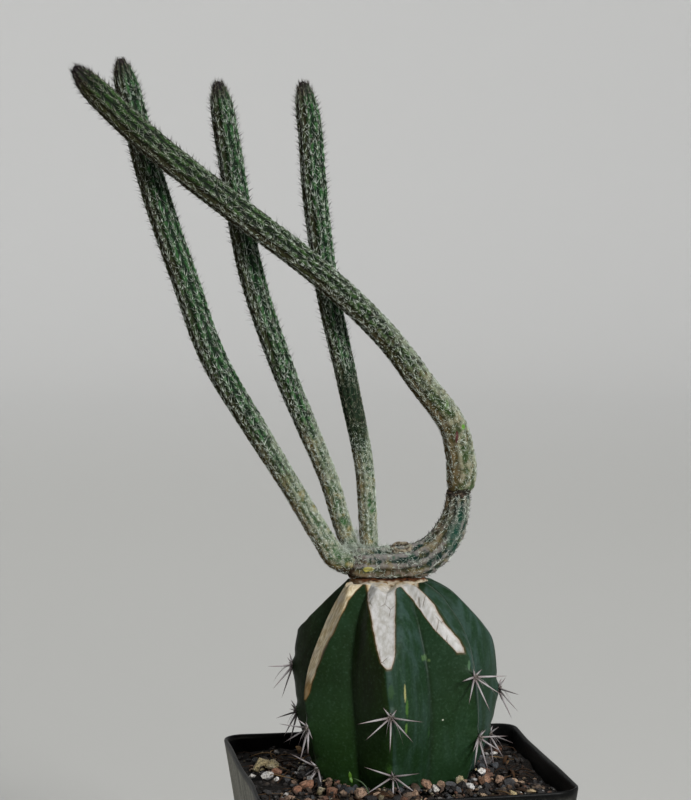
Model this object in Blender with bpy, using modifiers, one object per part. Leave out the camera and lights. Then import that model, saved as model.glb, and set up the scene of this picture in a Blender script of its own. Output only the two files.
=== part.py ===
"""Potted wilcoxia, grafted on a ribbed globe cactus in a square nursery pot.

Metres, +Z up. The origin is the centre of the pot's underside, and the pot's sides follow X and Y.
The plant stands turned against the pot: its own axes are across (the plane its stems spread in),
away (through that plane) and up, measured from the pot's rim.
"""
import math
import random

import bmesh
import bpy
from mathutils import Matrix, Vector, noise

MM = 0.001
GAP = 0.3 * MM                       # clearance between pieces that touch

# The pot: a thin square shell that widens from its floor to its rim.
POT_RIM = 80 * MM
POT_FLOOR = 58 * MM
POT_HEIGHT = 75 * MM
POT_WALL = 1.0 * MM
POT_CORNER = 8 * MM
POT_CORNER_STEPS = 4
DRAIN_RADIUS = 4 * MM
DRAIN_SPREAD = 17 * MM

# The soil: its height at the walls and how far it is heaped up round the stock.
SOIL_DEPTH_BELOW_RIM = 5.5 * MM
SOIL_HEAP = 2.8 * MM
SOIL_HEAP_REACH = 30 * MM
SOIL_ROUGHNESS = 1.4 * MM
SOIL_LUMP = 7 * MM
SOIL_GRID = 13
STONE_SINK = 0.30                    # share of a stone's height below the soil
STONE_DEPTH = (0.7, 0.95)            # a stone's depth and height as shares of its width
STONE_HEIGHT = (0.6, 0.85)
STONE_ROUGHNESS = 0.12
STONE_LEAN = math.radians(23)
SMALL_STONES = 42
SMALL_STONE_WIDTH = (2.4 * MM, 4.4 * MM)
# The largest stones: across, away and width.
LARGE_STONES = (
    (-31.3, -3.8, 5.6),
    (-24.5, -17.5, 4.6),
    (-16.0, -27.0, 5.4),
    (-6.0, -30.5, 4.2),
    (8.0, -29.0, 4.0),
    (22.5, -22.5, 5.0),
    (27.5, -14.0, 5.2),
    (25.0, 5.0, 4.4),
    (-20.0, 26.0, 5.0),
    (4.0, 30.0, 4.6),
    (24.0, 24.0, 4.2),
)

NEEDLE_SIDES = 3                     # of each spine and bristle

# The plant's turn against the pot, about the vertical.
PLANT_TURN = math.radians(-9.4)

# The rootstock, up from the rim: the crest and valley radii of its ribs at each height, in millimetres.
STOCK_CREST = (
    (-20.0, 7.0), (-15.0, 13.5), (-9.0, 18.0), (-3.0, 21.2), (3.0, 23.4), (9.0, 24.9), (15.0, 25.8),
    (21.0, 26.1), (27.0, 26.0), (33.0, 25.3), (38.0, 23.9), (43.0, 20.6), (46.9, 16.0),
)
STOCK_VALLEY = (
    (-20.0, 5.8), (-15.0, 11.2), (-9.0, 15.0), (-3.0, 17.0), (3.0, 18.2), (9.0, 19.0), (15.0, 19.5),
    (21.0, 19.7), (27.0, 19.2), (33.0, 17.8), (38.0, 15.8), (43.0, 12.6), (46.9, 9.6),
)
STOCK_RINGS = 15
STOCK_STEPS_PER_RIB = 6
STOCK_TWIST = math.radians(-9)       # the ribs' turn between mid height and the cut top
STOCK_TWIST_START = 12 * MM
# Each rib: its direction in degrees (0 faces the viewer, positive to the right), the height where
# its knife cut ends, the crest radius there, and the heights of its areoles.
RIBS = (
    (-102, 32.9, 25.0, (23.5, 11.7)),
    (-61, 18.9, 25.9, (11.2, 0.6)),
    (-2, 28.6, 25.9, (16.8, 1.2)),
    (57, 31.7, 24.4, (25.2, 9.1)),
    (103, 31.5, 25.2, (17.8, 5.7)),
    (157, 30.0, 25.4, (22.0, 8.0)),
    (206, 27.0, 25.6, (16.0, 3.0)),
)
CUT_TOP_RADIUS = 11.8 * MM           # where every knife cut meets the level top
KNIFE_BLOCK = (30 * MM, 16 * MM, 60 * MM)
AREOLE_RADIUS = 1.15 * MM
SPINE_LENGTH = 9.4 * MM
SPINE_RADIUS = 0.42 * MM
SPINE_SINK = 0.9 * MM
SPINE_SPREAD = 0.75 * MM            # how far from the areole's middle a spine starts
SPINE_STAND_OFF = math.radians(37)   # how far a spine rises from the stock's surface
SPINE_SOIL_CLEARANCE = 2.2 * MM
# The spines of one areole: direction in degrees (0 east, 90 up) and share of the full length.
SPINE_STAR = ((0, 1.0), (180, 1.0), (216, 0.95), (270, 1.0), (324, 0.95), (118, 0.7), (62, 0.5))

# Stems: across, away, up from the rim and radius at each point, in millimetres, foot to tip.
BASE_ROUTE = (
    (-12.4, -0.4, 51.5, 3.9), (-9.5, -0.2, 51.1, 4.2), (-5.9, 0.0, 51.0, 4.5), (1.3, 0.0, 51.2, 4.7),
    (6.4, 0.0, 52.2, 4.6), (10.9, 0.0, 55.3, 4.2), (14.0, 0.0, 59.8, 3.8), (15.7, 0.0, 64.9, 3.2),
    (16.1, 0.0, 69.3, 2.9),
)
ARCHING_ROUTE = (
    (16.15, -0.05, 69.65, 2.9), (16.6, -0.4, 72.0, 3.6), (16.8, -0.8, 75.2, 3.9), (16.2, -1.5, 80.4, 3.7),
    (14.3, -2.3, 87.0, 3.5), (6.4, -3.8, 97.9, 3.3), (-0.9, -5.0, 107.8, 3.2), (-10.0, -6.4, 117.4, 3.2),
    (-23.4, -8.0, 129.0, 3.3), (-41.2, -9.6, 142.5, 3.4), (-63.3, -11.2, 160.2, 3.4),
    (-75.4, -12.4, 172.0, 3.2), (-79.2, -12.8, 176.3, 2.9),
)
LEFT_ROUTE = (
    (-11.4, -1.4, 51.3, 3.0), (-14.9, -2.2, 52.9, 3.0), (-18.0, -2.2, 57.4, 2.8), (-26.7, -1.3, 71.6, 2.6),
    (-34.9, -1.0, 84.9, 3.0), (-46.2, -0.7, 104.2, 3.4), (-53.0, -0.5, 123.4, 3.5), (-60.3, -0.3, 145.0, 3.5),
    (-67.1, -0.1, 170.9, 3.2), (-69.0, 0.0, 178.6, 2.9),
)
MIDDLE_ROUTE = (
    (-10.3, 2.9, 52.2, 2.3), (-13.3, 3.6, 60.3, 2.35), (-16.8, 3.2, 72.2, 2.4), (-23.2, 2.7, 87.8, 2.7),
    (-29.5, 2.6, 103.4, 3.0), (-36.7, 2.4, 126.0, 3.2), (-41.4, 2.2, 152.9, 3.2), (-43.9, 2.1, 168.2, 3.0),
    (-44.7, 2.0, 173.0, 2.7),
)
RIGHT_ROUTE = (
    (-6.5, 2.3, 52.5, 2.4), (-6.9, 3.0, 61.9, 2.3), (-7.9, 3.0, 76.0, 2.4), (-12.2, 3.0, 97.8, 2.7),
    (-16.9, 3.0, 119.4, 3.0), (-20.4, 3.0, 145.4, 3.2), (-21.5, 3.0, 160.7, 3.1), (-22.8, 3.0, 169.2, 2.9),
    (-23.4, 3.0, 173.0, 2.6),
)
STEM_RIBS = 8
STEM_RIB_DEPTH = 0.12                # valley depth as a share of the radius
STEM_RING_SPACING = 6.5 * MM
STEM_TIP_LENGTH = 9.0 * MM
STEM_TIP_FULLNESS = 0.65             # lower is blunter
STEM_TIP_POINT = 0.16                # share of the radius left at the very tip
BASE_RING_SPACING = 2.6 * MM
BASE_END_LENGTH = 2.2 * MM
BRISTLE_LENGTH = 1.7 * MM
BRISTLE_RADIUS = 0.17 * MM
BRISTLE_SINK = 0.5 * MM
BRISTLE_LEAN = math.radians(28)      # rise from the stem's skin on the shaft
BRISTLE_TIP_LEAN = math.radians(62)  # and near the tip, where the bristles stand out
BRISTLE_SPREAD = math.radians(9)
BRISTLE_STRIDE = 3                   # one crest point in this many carries a bristle on the shaft
BRISTLE_TIP_STRIDE = 2               # and near the tip

SEED = 7


def clear_scene():
    """Empties the scene and hands back the part's collection and the one for its cutters."""
    for obj in list(bpy.data.objects):
        bpy.data.objects.remove(obj)
    part = bpy.data.collections.new("potted_wilcoxia")
    cutters = bpy.data.collections.new("cutters")
    bpy.context.scene.collection.children.link(part)
    bpy.context.scene.collection.children.link(cutters)
    return part, cutters


def material(name, colour, roughness):
    """A plain Principled material."""
    made = bpy.data.materials.new(name)
    made.use_nodes = True
    shader = made.node_tree.nodes["Principled BSDF"]
    shader.inputs["Base Color"].default_value = (*colour, 1)
    shader.inputs["Roughness"].default_value = roughness
    shader.inputs["Metallic"].default_value = 0
    return made


def add_object(name, mesh, collection, parent=None):
    """Puts a mesh or curve in the collection as an object, under its parent."""
    obj = bpy.data.objects.new(name, mesh)
    collection.objects.link(obj)
    obj.parent = parent
    return obj


def mesh_from(bm, name):
    """Turns a bmesh into a mesh and frees it."""
    mesh = bpy.data.meshes.new(name)
    bm.to_mesh(mesh)
    bm.free()
    return mesh


def as_cutter(obj):
    """Keeps a cutter out of the part."""
    obj.hide_render = True
    obj.display_type = "WIRE"
    return obj


def boolean(obj, operation, other=None, collection=None, solver="EXACT"):
    """Adds a Boolean modifier with an object or a whole collection."""
    modifier = obj.modifiers.new(operation.lower(), "BOOLEAN")
    modifier.operation = operation
    modifier.solver = solver
    if collection:
        modifier.operand_type = "COLLECTION"
        modifier.collection = collection
    else:
        modifier.object = other
    return modifier


def apply_modifiers(obj):
    """Replaces the object's mesh by its evaluated one."""
    bpy.context.view_layer.update()
    graph = bpy.context.evaluated_depsgraph_get()
    mesh = bpy.data.meshes.new_from_object(obj.evaluated_get(graph))
    obj.modifiers.clear()
    obj.data = mesh


def fuse(obj, pieces, solver="MANIFOLD"):
    """Joins a collection of small pieces to the object in one union and removes them."""
    boolean(obj, "UNION", collection=pieces, solver=solver)
    apply_modifiers(obj)
    for piece in list(pieces.objects):
        bpy.data.objects.remove(piece)
    bpy.data.collections.remove(pieces)


def piece_collection(name):
    """A collection for the pieces of one union."""
    made = bpy.data.collections.new(name)
    bpy.context.scene.collection.children.link(made)
    return made


def read_profile(profile, height):
    """Radius in metres at a height in metres, between the rows of a table in millimetres."""
    level = height / MM
    for (low, low_radius), (high, high_radius) in zip(profile, profile[1:]):
        if level <= high:
            share = max(0.0, (level - low) / (high - low))
            return (low_radius + (high_radius - low_radius) * share) * MM
    return profile[-1][1] * MM


def half_width(height, inset):
    """Half the pot's outer width at a height over its underside, less an inset."""
    share = height / POT_HEIGHT
    return (POT_FLOOR + (POT_RIM - POT_FLOOR) * share) / 2 - inset


def tapered_box(bottom, top, inset):
    """A square block with rounded upright edges that follows the pot's walls at an inset."""
    bm = bmesh.new()
    bmesh.ops.create_cube(bm, size=2)
    for vert in bm.verts:
        height = top if vert.co.z > 0 else bottom
        half = half_width(height, inset)
        vert.co = Vector((vert.co.x * half, vert.co.y * half, height))
    half_way = (top - bottom) / 2
    upright = [edge for edge in bm.edges if abs(edge.verts[0].co.z - edge.verts[1].co.z) > half_way]
    bmesh.ops.bevel(bm, geom=upright, offset=POT_CORNER - inset, segments=POT_CORNER_STEPS, profile=0.5,
                    affect="EDGES")
    return bm


def build_pot(part, cutters):
    """The thin square pot with four drain holes."""
    bm = tapered_box(0, POT_HEIGHT, 0)
    bmesh.ops.delete(bm, geom=[face for face in bm.faces if face.normal.z > 0.9], context="FACES")
    pot = add_object("pot", mesh_from(bm, "pot"), part)
    shell = pot.modifiers.new("wall", "SOLIDIFY")
    shell.thickness = POT_WALL
    shell.offset = -1
    shell.use_even_offset = True
    holes = bmesh.new()
    for side_x in (-1, 1):
        for side_y in (-1, 1):
            place = Matrix.Translation((side_x * DRAIN_SPREAD, side_y * DRAIN_SPREAD, 0))
            bmesh.ops.create_cone(holes, cap_ends=True, segments=16, radius1=DRAIN_RADIUS,
                                  radius2=DRAIN_RADIUS, depth=6 * POT_WALL, matrix=place)
    cutter = as_cutter(add_object("drain_holes", mesh_from(holes, "drain_holes"), cutters))
    boolean(pot, "DIFFERENCE", cutter)
    pot.data.materials.append(material("black_plastic", (0.018, 0.019, 0.020), 0.45))
    return pot


def soil_height(across, away):
    """Height of the soil over the pot's underside, before its stones."""
    reach = math.hypot(across, away) / SOIL_HEAP_REACH
    heap = SOIL_HEAP * math.exp(-reach ** 2)
    lumps = noise.noise(Vector((across / SOIL_LUMP, away / SOIL_LUMP, SEED)))
    return POT_HEIGHT - SOIL_DEPTH_BELOW_RIM + heap + SOIL_ROUGHNESS * lumps


def add_stone(pieces, across, away, width, detail):
    """One rough stone, partly sunk in the soil."""
    bm = bmesh.new()
    bmesh.ops.create_icosphere(bm, subdivisions=detail, radius=width / 2)
    squash = Vector((1.0, random.uniform(*STONE_DEPTH), random.uniform(*STONE_HEIGHT)))
    for vert in bm.verts:
        vert.co *= 1 + random.uniform(-STONE_ROUGHNESS, STONE_ROUGHNESS)
        vert.co *= squash
    stone = add_object("stone", mesh_from(bm, "stone"), pieces)
    stone.location = (across, away, soil_height(across, away) + width * (0.5 - STONE_SINK) * squash.z)
    lean = [random.uniform(-STONE_LEAN, STONE_LEAN) for _ in range(2)]
    stone.rotation_euler = (*lean, random.uniform(0, math.tau))


def build_soil(part, cutters):
    """The potting mix: the pot's inside up to a rumpled top, with stones fused to it."""
    inset = POT_WALL / math.cos(math.atan2((POT_RIM - POT_FLOOR) / 2, POT_HEIGHT)) + GAP
    bm = tapered_box(POT_WALL + GAP, POT_HEIGHT, inset)
    soil = add_object("soil", mesh_from(bm, "soil"), part)

    top = bmesh.new()
    bmesh.ops.create_grid(top, x_segments=SOIL_GRID, y_segments=SOIL_GRID, size=POT_RIM / 2)
    for vert in top.verts:
        vert.co.z = soil_height(vert.co.x, vert.co.y)
    surface = as_cutter(add_object("soil_surface", mesh_from(top, "soil_surface"), cutters))
    thick = surface.modifiers.new("depth", "SOLIDIFY")
    thick.thickness = POT_HEIGHT * 1.2
    thick.offset = -1
    boolean(soil, "INTERSECT", surface)
    apply_modifiers(soil)

    stones = piece_collection("stones")
    turn = Matrix.Rotation(PLANT_TURN, 3, "Z")
    for across, away, width in LARGE_STONES:
        spot = turn @ Vector((across, away, 0)) * MM
        add_stone(stones, spot.x, spot.y, width * MM, 2)
    placed = 0
    reach = half_width(POT_HEIGHT - SOIL_DEPTH_BELOW_RIM, inset)
    inner = read_profile(STOCK_CREST, 0)
    while placed < SMALL_STONES:
        width = random.uniform(*SMALL_STONE_WIDTH)
        limit = reach - width / 2 - 2 * GAP
        across = random.uniform(-limit, limit)
        away = random.uniform(-limit, limit)
        into_corner = [max(0.0, abs(run) - limit + POT_CORNER) for run in (across, away)]
        if math.hypot(across, away) < inner + width / 3 or math.hypot(*into_corner) > POT_CORNER:
            continue
        add_stone(stones, across, away, width, 1)
        placed += 1
    fuse(soil, stones)
    soil.data.materials.append(material("potting_mix", (0.09, 0.06, 0.04), 0.95))
    return soil


def rib_turn(rib, height):
    """A rib's direction, in radians from the viewer's side to the right, at a height up from the rim."""
    share = max(0.0, (height - STOCK_TWIST_START) / (STOCK_CREST[-1][0] * MM - STOCK_TWIST_START))
    return math.radians(RIBS[rib][0]) + STOCK_TWIST * share


def stock_point(column, height, grow):
    """A point of the stock's skin: the columns run round it, and each rib's flanks are flat."""
    rib, step = divmod(column, STOCK_STEPS_PER_RIB)
    turn = rib_turn(rib, height)
    following = (rib + 1) % len(RIBS)
    sector = (rib_turn(following, height) - turn) % math.tau
    share = step / STOCK_STEPS_PER_RIB
    crest = read_profile(STOCK_CREST, height) + grow
    valley = read_profile(STOCK_VALLEY, height) + grow
    flank = 1 - abs(1 - 2 * share)
    near = turn if share <= 0.5 else turn + sector
    start = Vector((math.sin(near), -math.cos(near))) * crest
    middle = turn + sector / 2
    end = Vector((math.sin(middle), -math.cos(middle))) * valley
    spot = start.lerp(end, flank)
    return Vector((spot.x, spot.y, height))


def stock_body(grow):
    """The ribbed globe, from a sphere whose rings and columns are moved to the stock's skin."""
    columns = len(RIBS) * STOCK_STEPS_PER_RIB
    low = STOCK_CREST[0][0] * MM - grow
    high = STOCK_CREST[-1][0] * MM + grow
    bm = bmesh.new()
    bmesh.ops.create_uvsphere(bm, u_segments=columns, v_segments=STOCK_RINGS + 1, radius=1)
    for vert in bm.verts:
        lift = math.acos(max(-1.0, min(1.0, -vert.co.z))) / math.pi
        ring = round(lift * (STOCK_RINGS + 1))
        if ring in (0, STOCK_RINGS + 1):
            vert.co = Vector((0, 0, low if ring == 0 else high))
            continue
        share = (ring - 1) / (STOCK_RINGS - 1)
        column = round((math.atan2(vert.co.y, vert.co.x) % math.tau) / math.tau * columns) % columns
        vert.co = stock_point(column, low + (high - low) * share, grow)
    return bm


def add_knife_cuts(cutters, parent):
    """One block for each rib, whose lower face is the plane that the knife left."""
    blocks = bmesh.new()
    top = STOCK_CREST[-1][0] * MM
    for rib, (_, end_height, end_radius, _) in enumerate(RIBS):
        foot = end_height * MM
        reach = end_radius * MM
        slope = math.atan2(reach - CUT_TOP_RADIUS, top - foot)
        middle = Matrix.Translation(((CUT_TOP_RADIUS + reach) / 2, 0, (top + foot) / 2))
        tilt = Matrix.Rotation(-slope, 4, "Y")
        outward = Matrix.Translation((KNIFE_BLOCK[0] / 2, 0, 0))
        spin = Matrix.Rotation(rib_turn(rib, (top + foot) / 2) - math.pi / 2, 4, "Z")
        place = spin @ middle @ tilt @ outward @ Matrix.Diagonal((*KNIFE_BLOCK, 1))
        bmesh.ops.create_cube(blocks, size=1, matrix=place)
    return as_cutter(add_object("knife_cuts", mesh_from(blocks, "knife_cuts"), cutters, parent))


def add_spines(pieces, parent):
    """Every areole's woolly pad and its star of spines."""
    for rib, (_, _, _, heights) in enumerate(RIBS):
        for level in heights:
            height = level * MM
            turn = rib_turn(rib, height)
            outward = Vector((math.sin(turn), -math.cos(turn), 0))
            east = Vector((math.cos(turn), math.sin(turn), 0))
            below = read_profile(STOCK_CREST, height - 2 * MM)
            above = read_profile(STOCK_CREST, height + 2 * MM)
            up = (outward * (above - below) + Vector((0, 0, 4 * MM))).normalized()
            normal = east.cross(up).normalized()
            seat = outward * read_profile(STOCK_CREST, height) + Vector((0, 0, height))
            pad = bmesh.new()
            bmesh.ops.create_icosphere(pad, subdivisions=1, radius=AREOLE_RADIUS)
            add_object("pad", mesh_from(pad, "pad"), pieces, parent).location = seat
            for direction, share in SPINE_STAR:
                bearing = math.radians(direction + random.uniform(-5, 5))
                length = SPINE_LENGTH * share * random.uniform(0.92, 1.05)
                along = east * math.cos(bearing) + up * math.sin(bearing)
                rise = SPINE_STAND_OFF
                axis = along * math.cos(rise) + normal * math.sin(rise)
                floor = SPINE_SOIL_CLEARANCE - SOIL_DEPTH_BELOW_RIM + SOIL_HEAP
                while seat.z + axis.z * length < floor and rise < math.radians(85):
                    rise += math.radians(3)
                    axis = along * math.cos(rise) + normal * math.sin(rise)
                root = seat + along * SPINE_SPREAD
                add_cone(pieces, parent, root, axis, length - SPINE_SPREAD, SPINE_SINK, SPINE_RADIUS)


def add_cone(pieces, parent, seat, axis, length, sink, radius):
    """A three-sided needle that starts below its seat and points along its axis."""
    bm = bmesh.new()
    reach = length + sink
    lift = Matrix.Translation((0, 0, reach / 2))
    bmesh.ops.create_cone(bm, cap_ends=True, segments=NEEDLE_SIDES, radius1=radius, radius2=0,
                          depth=reach, matrix=lift)
    bmesh.ops.remove_doubles(bm, verts=bm.verts, dist=0.001 * MM)
    needle = add_object("needle", mesh_from(bm, "needle"), pieces, parent)
    needle.location = seat - axis * sink
    needle.rotation_euler = axis.to_track_quat("Z", "Y").to_euler()


def build_rootstock(part, cutters, parent):
    """The ribbed globe with its cut rib tops and its spines."""
    stock = add_object("rootstock", mesh_from(stock_body(0), "rootstock"), part, parent)
    boolean(stock, "DIFFERENCE", add_knife_cuts(cutters, parent))
    apply_modifiers(stock)
    spines = piece_collection("stock_spines")
    add_spines(spines, parent)
    fuse(stock, spines)
    stock.data.materials.append(material("stock_skin", (0.035, 0.11, 0.06), 0.5))
    return stock


def centripetal(points, share):
    """A point at a share, 0 to 1, between the middle two of four, on a curve through all."""
    first, second, third, fourth = points
    knots = [0.0]
    for near, far in ((first, second), (second, third), (third, fourth)):
        knots.append(knots[-1] + max(1e-9, (far - near).length) ** 0.5)
    at = knots[1] + (knots[2] - knots[1]) * share

    def blend(low, high, start, end):
        return low + (high - low) * ((at - start) / (end - start))

    near = blend(first, second, knots[0], knots[1])
    middle = blend(second, third, knots[1], knots[2])
    far = blend(third, fourth, knots[2], knots[3])
    lower = blend(near, middle, knots[0], knots[2])
    upper = blend(middle, far, knots[1], knots[3])
    return blend(lower, upper, knots[1], knots[2])


def follow_route(route):
    """Closely spaced points and radii on a smooth curve through the route's points."""
    fine = 24
    points = [Vector(row[:3]) * MM for row in route]
    radii = [row[3] * MM for row in route]
    ends = [points[0] * 2 - points[1], *points, points[-1] * 2 - points[-2]]
    track = []
    for index in range(len(points) - 1):
        for step in range(fine):
            share = step / fine
            spot = centripetal(ends[index:index + 4], share)
            track.append((spot, radii[index] + (radii[index + 1] - radii[index]) * share))
    track.append((points[-1], radii[-1]))
    return track


def even_stations(track, spacing, start_length, tip_length):
    """Rings along the track: evenly spaced, closer at rounded ends, as point, radius and run."""
    runs = [0.0]
    for (near, _), (far, _) in zip(track, track[1:]):
        runs.append(runs[-1] + (far - near).length)
    total = runs[-1]
    middle = total - start_length - tip_length
    count = max(2, round(middle / spacing))
    wanted = [start_length + middle * step / count for step in range(count + 1)]
    if start_length:
        wanted = [start_length * share for share in (0.0, 0.2, 0.55)] + wanted
    if tip_length:
        wanted += [total - tip_length * share for share in (0.6, 0.28, 0.08, 0.0)]
    stations = []
    index = 0
    for run in wanted:
        while index < len(runs) - 2 and runs[index + 1] < run:
            index += 1
        share = (run - runs[index]) / (runs[index + 1] - runs[index])
        spot = track[index][0].lerp(track[index + 1][0], share)
        radius = track[index][1] + (track[index + 1][1] - track[index][1]) * share
        radius *= end_taper(run, start_length) * end_taper(total - run, tip_length)
        stations.append((spot, radius, run))
    return stations


def end_taper(run, length):
    """Share of the radius that a rounded end leaves at a distance from it."""
    if run >= length:
        return 1.0
    return STEM_TIP_POINT + (1 - STEM_TIP_POINT) * (1 - (1 - run / length) ** 1.8) ** STEM_TIP_FULLNESS


def rib_section(cutters):
    """The stems' ribbed outline, one millimetre in radius."""
    outline = bpy.data.curves.new("rib_section", "CURVE")
    outline.dimensions = "2D"
    spline = outline.splines.new("POLY")
    spline.use_cyclic_u = True
    corners = STEM_RIBS * 2
    spline.points.add(corners - 1)
    for corner in range(corners):
        turn = math.tau * corner / corners
        radius = MM * (1 if corner % 2 == 0 else 1 - STEM_RIB_DEPTH)
        spline.points[corner].co = (radius * math.cos(turn), radius * math.sin(turn), 0, 1)
    return as_cutter(add_object("rib_section", outline, cutters))


def ribbed_stem(name, stations, section, grow, collection, parent):
    """A ribbed tube along its stations, as a closed mesh object."""
    curve = bpy.data.curves.new(name, "CURVE")
    curve.dimensions = "3D"
    curve.bevel_mode = "OBJECT"
    curve.bevel_object = section
    curve.use_fill_caps = True
    curve.twist_mode = "MINIMUM"
    spline = curve.splines.new("POLY")
    spline.points.add(len(stations) - 1)
    for point, (spot, radius, _) in zip(spline.points, stations):
        point.co = (*spot, 1)
        point.radius = (radius + grow) / MM
    tube = add_object(name + "_curve", curve, collection, parent)
    bpy.context.view_layer.update()
    graph = bpy.context.evaluated_depsgraph_get()
    mesh = bpy.data.meshes.new_from_object(tube.evaluated_get(graph))
    place = tube.matrix_world.copy()
    bpy.data.objects.remove(tube)
    bm = bmesh.new()
    bm.from_mesh(mesh)
    bmesh.ops.remove_doubles(bm, verts=bm.verts, dist=0.01 * MM)
    bmesh.ops.recalc_face_normals(bm, faces=bm.faces)
    bm.to_mesh(mesh)
    bm.free()
    stem = add_object(name, mesh, collection, parent)
    stem.matrix_world = place
    return stem


def on_crest(offset, along, radius):
    """Whether a point of the stem's mesh is on this ring and on a rib's crest."""
    return abs(offset.dot(along)) < 0.2 * MM and 0.97 < offset.length / radius < 1.1


def add_bristles(stem, stations, pieces, parent, first_run):
    """Bristles on the rib crests, appressed on the shaft and standing out round the tip."""
    total = stations[-1][2]
    sides = STEM_RIBS * 2
    for ring, (spot, radius, run) in enumerate(stations):
        if run < first_run or ring == len(stations) - 1:
            continue
        ahead = stations[ring + 1][0]
        behind = stations[ring - 1][0]
        along = (ahead - behind).normalized()
        near_tip = total - run < STEM_TIP_LENGTH * 0.7
        crests = [vert for vert in stem.data.vertices if on_crest(vert.co - spot, along, radius)]
        for place, vert in enumerate(crests):
            if (place + ring) % (BRISTLE_TIP_STRIDE if near_tip else BRISTLE_STRIDE):
                continue
            outward = (vert.co - spot).normalized()
            lean = BRISTLE_TIP_LEAN if near_tip else BRISTLE_LEAN
            lean += random.uniform(-BRISTLE_SPREAD, BRISTLE_SPREAD)
            axis = (along * math.cos(lean) + outward * math.sin(lean)).normalized()
            length = BRISTLE_LENGTH * random.uniform(0.8, 1.1)
            add_cone(pieces, parent, vert.co, axis, length, BRISTLE_SINK, BRISTLE_RADIUS)


def build_stem(name, route, section, part, parent, seat, colour, first_run):
    """One shoot: a ribbed stem with bristles, its foot cut to the old stem it grows from."""
    stations = even_stations(follow_route(route), STEM_RING_SPACING, 0, STEM_TIP_LENGTH)
    stem = ribbed_stem(name, stations, section, 0, part, parent)
    if seat:
        boolean(stem, "DIFFERENCE", seat)
        apply_modifiers(stem)
    bristles = piece_collection(name + "_bristles")
    add_bristles(stem, stations, bristles, parent, first_run)
    fuse(stem, bristles)
    stem.data.materials.append(material(name + "_skin", colour, 0.75))
    return stem


def build_scion_base(section, part, cutters, parent):
    """The old stem, level underneath where it lies on the stock's cut top."""
    stations = even_stations(follow_route(BASE_ROUTE), BASE_RING_SPACING, BASE_END_LENGTH, 0)
    base = ribbed_stem("scion_base", stations, section, 0, part, parent)
    block = bmesh.new()
    top = STOCK_CREST[-1][0] * MM + GAP
    size = 60 * MM
    place = Matrix.Translation((0, 0, top - size / 2))
    bmesh.ops.create_cube(block, size=size, matrix=place)
    cutter = as_cutter(add_object("level_cut", mesh_from(block, "level_cut"), cutters, parent))
    boolean(base, "DIFFERENCE", cutter)
    apply_modifiers(base)
    base.data.materials.append(material("old_stem_skin", (0.20, 0.19, 0.14), 0.85))
    seat = as_cutter(ribbed_stem("base_seat", stations, section, GAP * 1.3, cutters, parent))
    return base, seat


def main():
    random.seed(SEED)
    part, cutters = clear_scene()
    plant = bpy.data.objects.new("plant", None)
    part.objects.link(plant)
    plant.location = (0, 0, POT_HEIGHT)
    plant.rotation_euler = (0, 0, PLANT_TURN)
    bpy.context.view_layer.update()

    build_pot(part, cutters)
    soil = build_soil(part, cutters)
    hole = as_cutter(add_object("stock_hole", mesh_from(stock_body(GAP), "stock_hole"), cutters, plant))
    boolean(soil, "DIFFERENCE", hole)

    build_rootstock(part, cutters, plant)
    section = rib_section(cutters)
    _, seat = build_scion_base(section, part, cutters, plant)
    green = (0.10, 0.17, 0.10)
    build_stem("stem_arching", ARCHING_ROUTE, section, part, plant, None, (0.14, 0.17, 0.10), 4 * MM)
    build_stem("stem_left", LEFT_ROUTE, section, part, plant, seat, green, 12 * MM)
    build_stem("stem_middle", MIDDLE_ROUTE, section, part, plant, seat, green, 12 * MM)
    build_stem("stem_right", RIGHT_ROUTE, section, part, plant, seat, green, 12 * MM)


main()
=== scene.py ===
"""Looks of the potted wilcoxia: its ribbed stems with their bristles, the waxy stock with its cork
scars and grey spines, the gritty soil and the black nursery pot, each in place of its plain solid.

Lengths are in millimetres until a mesh is made, and colours are given as a screen's 0 to 255. The
plant's own axes are across, away and up from the pot's rim. A direction round the stock is 0 towards
the viewer and grows to the right.
"""
import math

import bmesh
import bpy
import numpy as np
from mathutils import Euler, Matrix, Vector, noise


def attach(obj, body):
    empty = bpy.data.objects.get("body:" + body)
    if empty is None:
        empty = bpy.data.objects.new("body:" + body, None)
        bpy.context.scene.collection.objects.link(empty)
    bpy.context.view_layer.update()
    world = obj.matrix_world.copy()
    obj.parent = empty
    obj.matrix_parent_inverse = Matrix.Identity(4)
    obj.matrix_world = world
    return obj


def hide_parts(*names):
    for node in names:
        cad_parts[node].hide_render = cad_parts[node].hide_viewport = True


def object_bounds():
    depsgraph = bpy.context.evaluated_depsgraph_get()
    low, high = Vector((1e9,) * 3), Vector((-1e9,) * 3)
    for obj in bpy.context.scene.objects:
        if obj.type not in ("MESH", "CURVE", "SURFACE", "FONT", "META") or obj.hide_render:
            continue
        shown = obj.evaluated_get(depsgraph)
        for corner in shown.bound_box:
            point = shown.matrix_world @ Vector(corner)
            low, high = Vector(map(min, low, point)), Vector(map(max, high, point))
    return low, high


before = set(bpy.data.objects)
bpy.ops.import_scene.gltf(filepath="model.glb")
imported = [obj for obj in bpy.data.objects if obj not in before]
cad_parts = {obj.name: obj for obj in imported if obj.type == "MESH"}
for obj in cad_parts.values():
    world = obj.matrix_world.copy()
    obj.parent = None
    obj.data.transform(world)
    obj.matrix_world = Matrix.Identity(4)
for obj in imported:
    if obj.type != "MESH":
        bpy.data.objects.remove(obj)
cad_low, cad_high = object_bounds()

MM = 0.001
SEED = 7
draw = np.random.default_rng(SEED)

# The pot, as its solid has it, but with its corners a little tighter.
POT_RIM = 80
POT_FLOOR = 58
POT_HEIGHT = 75
POT_WALL = 1.0
POT_CORNER = 6.5
POT_LEVELS = np.linspace(3, 73.6, 27)
POT_WAVE = 0.7                       # how far its walls wave in and out at the rim
POT_RIM_WAVE = 0.8
DRAIN_RADIUS = 4
DRAIN_SPREAD = 17

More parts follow.
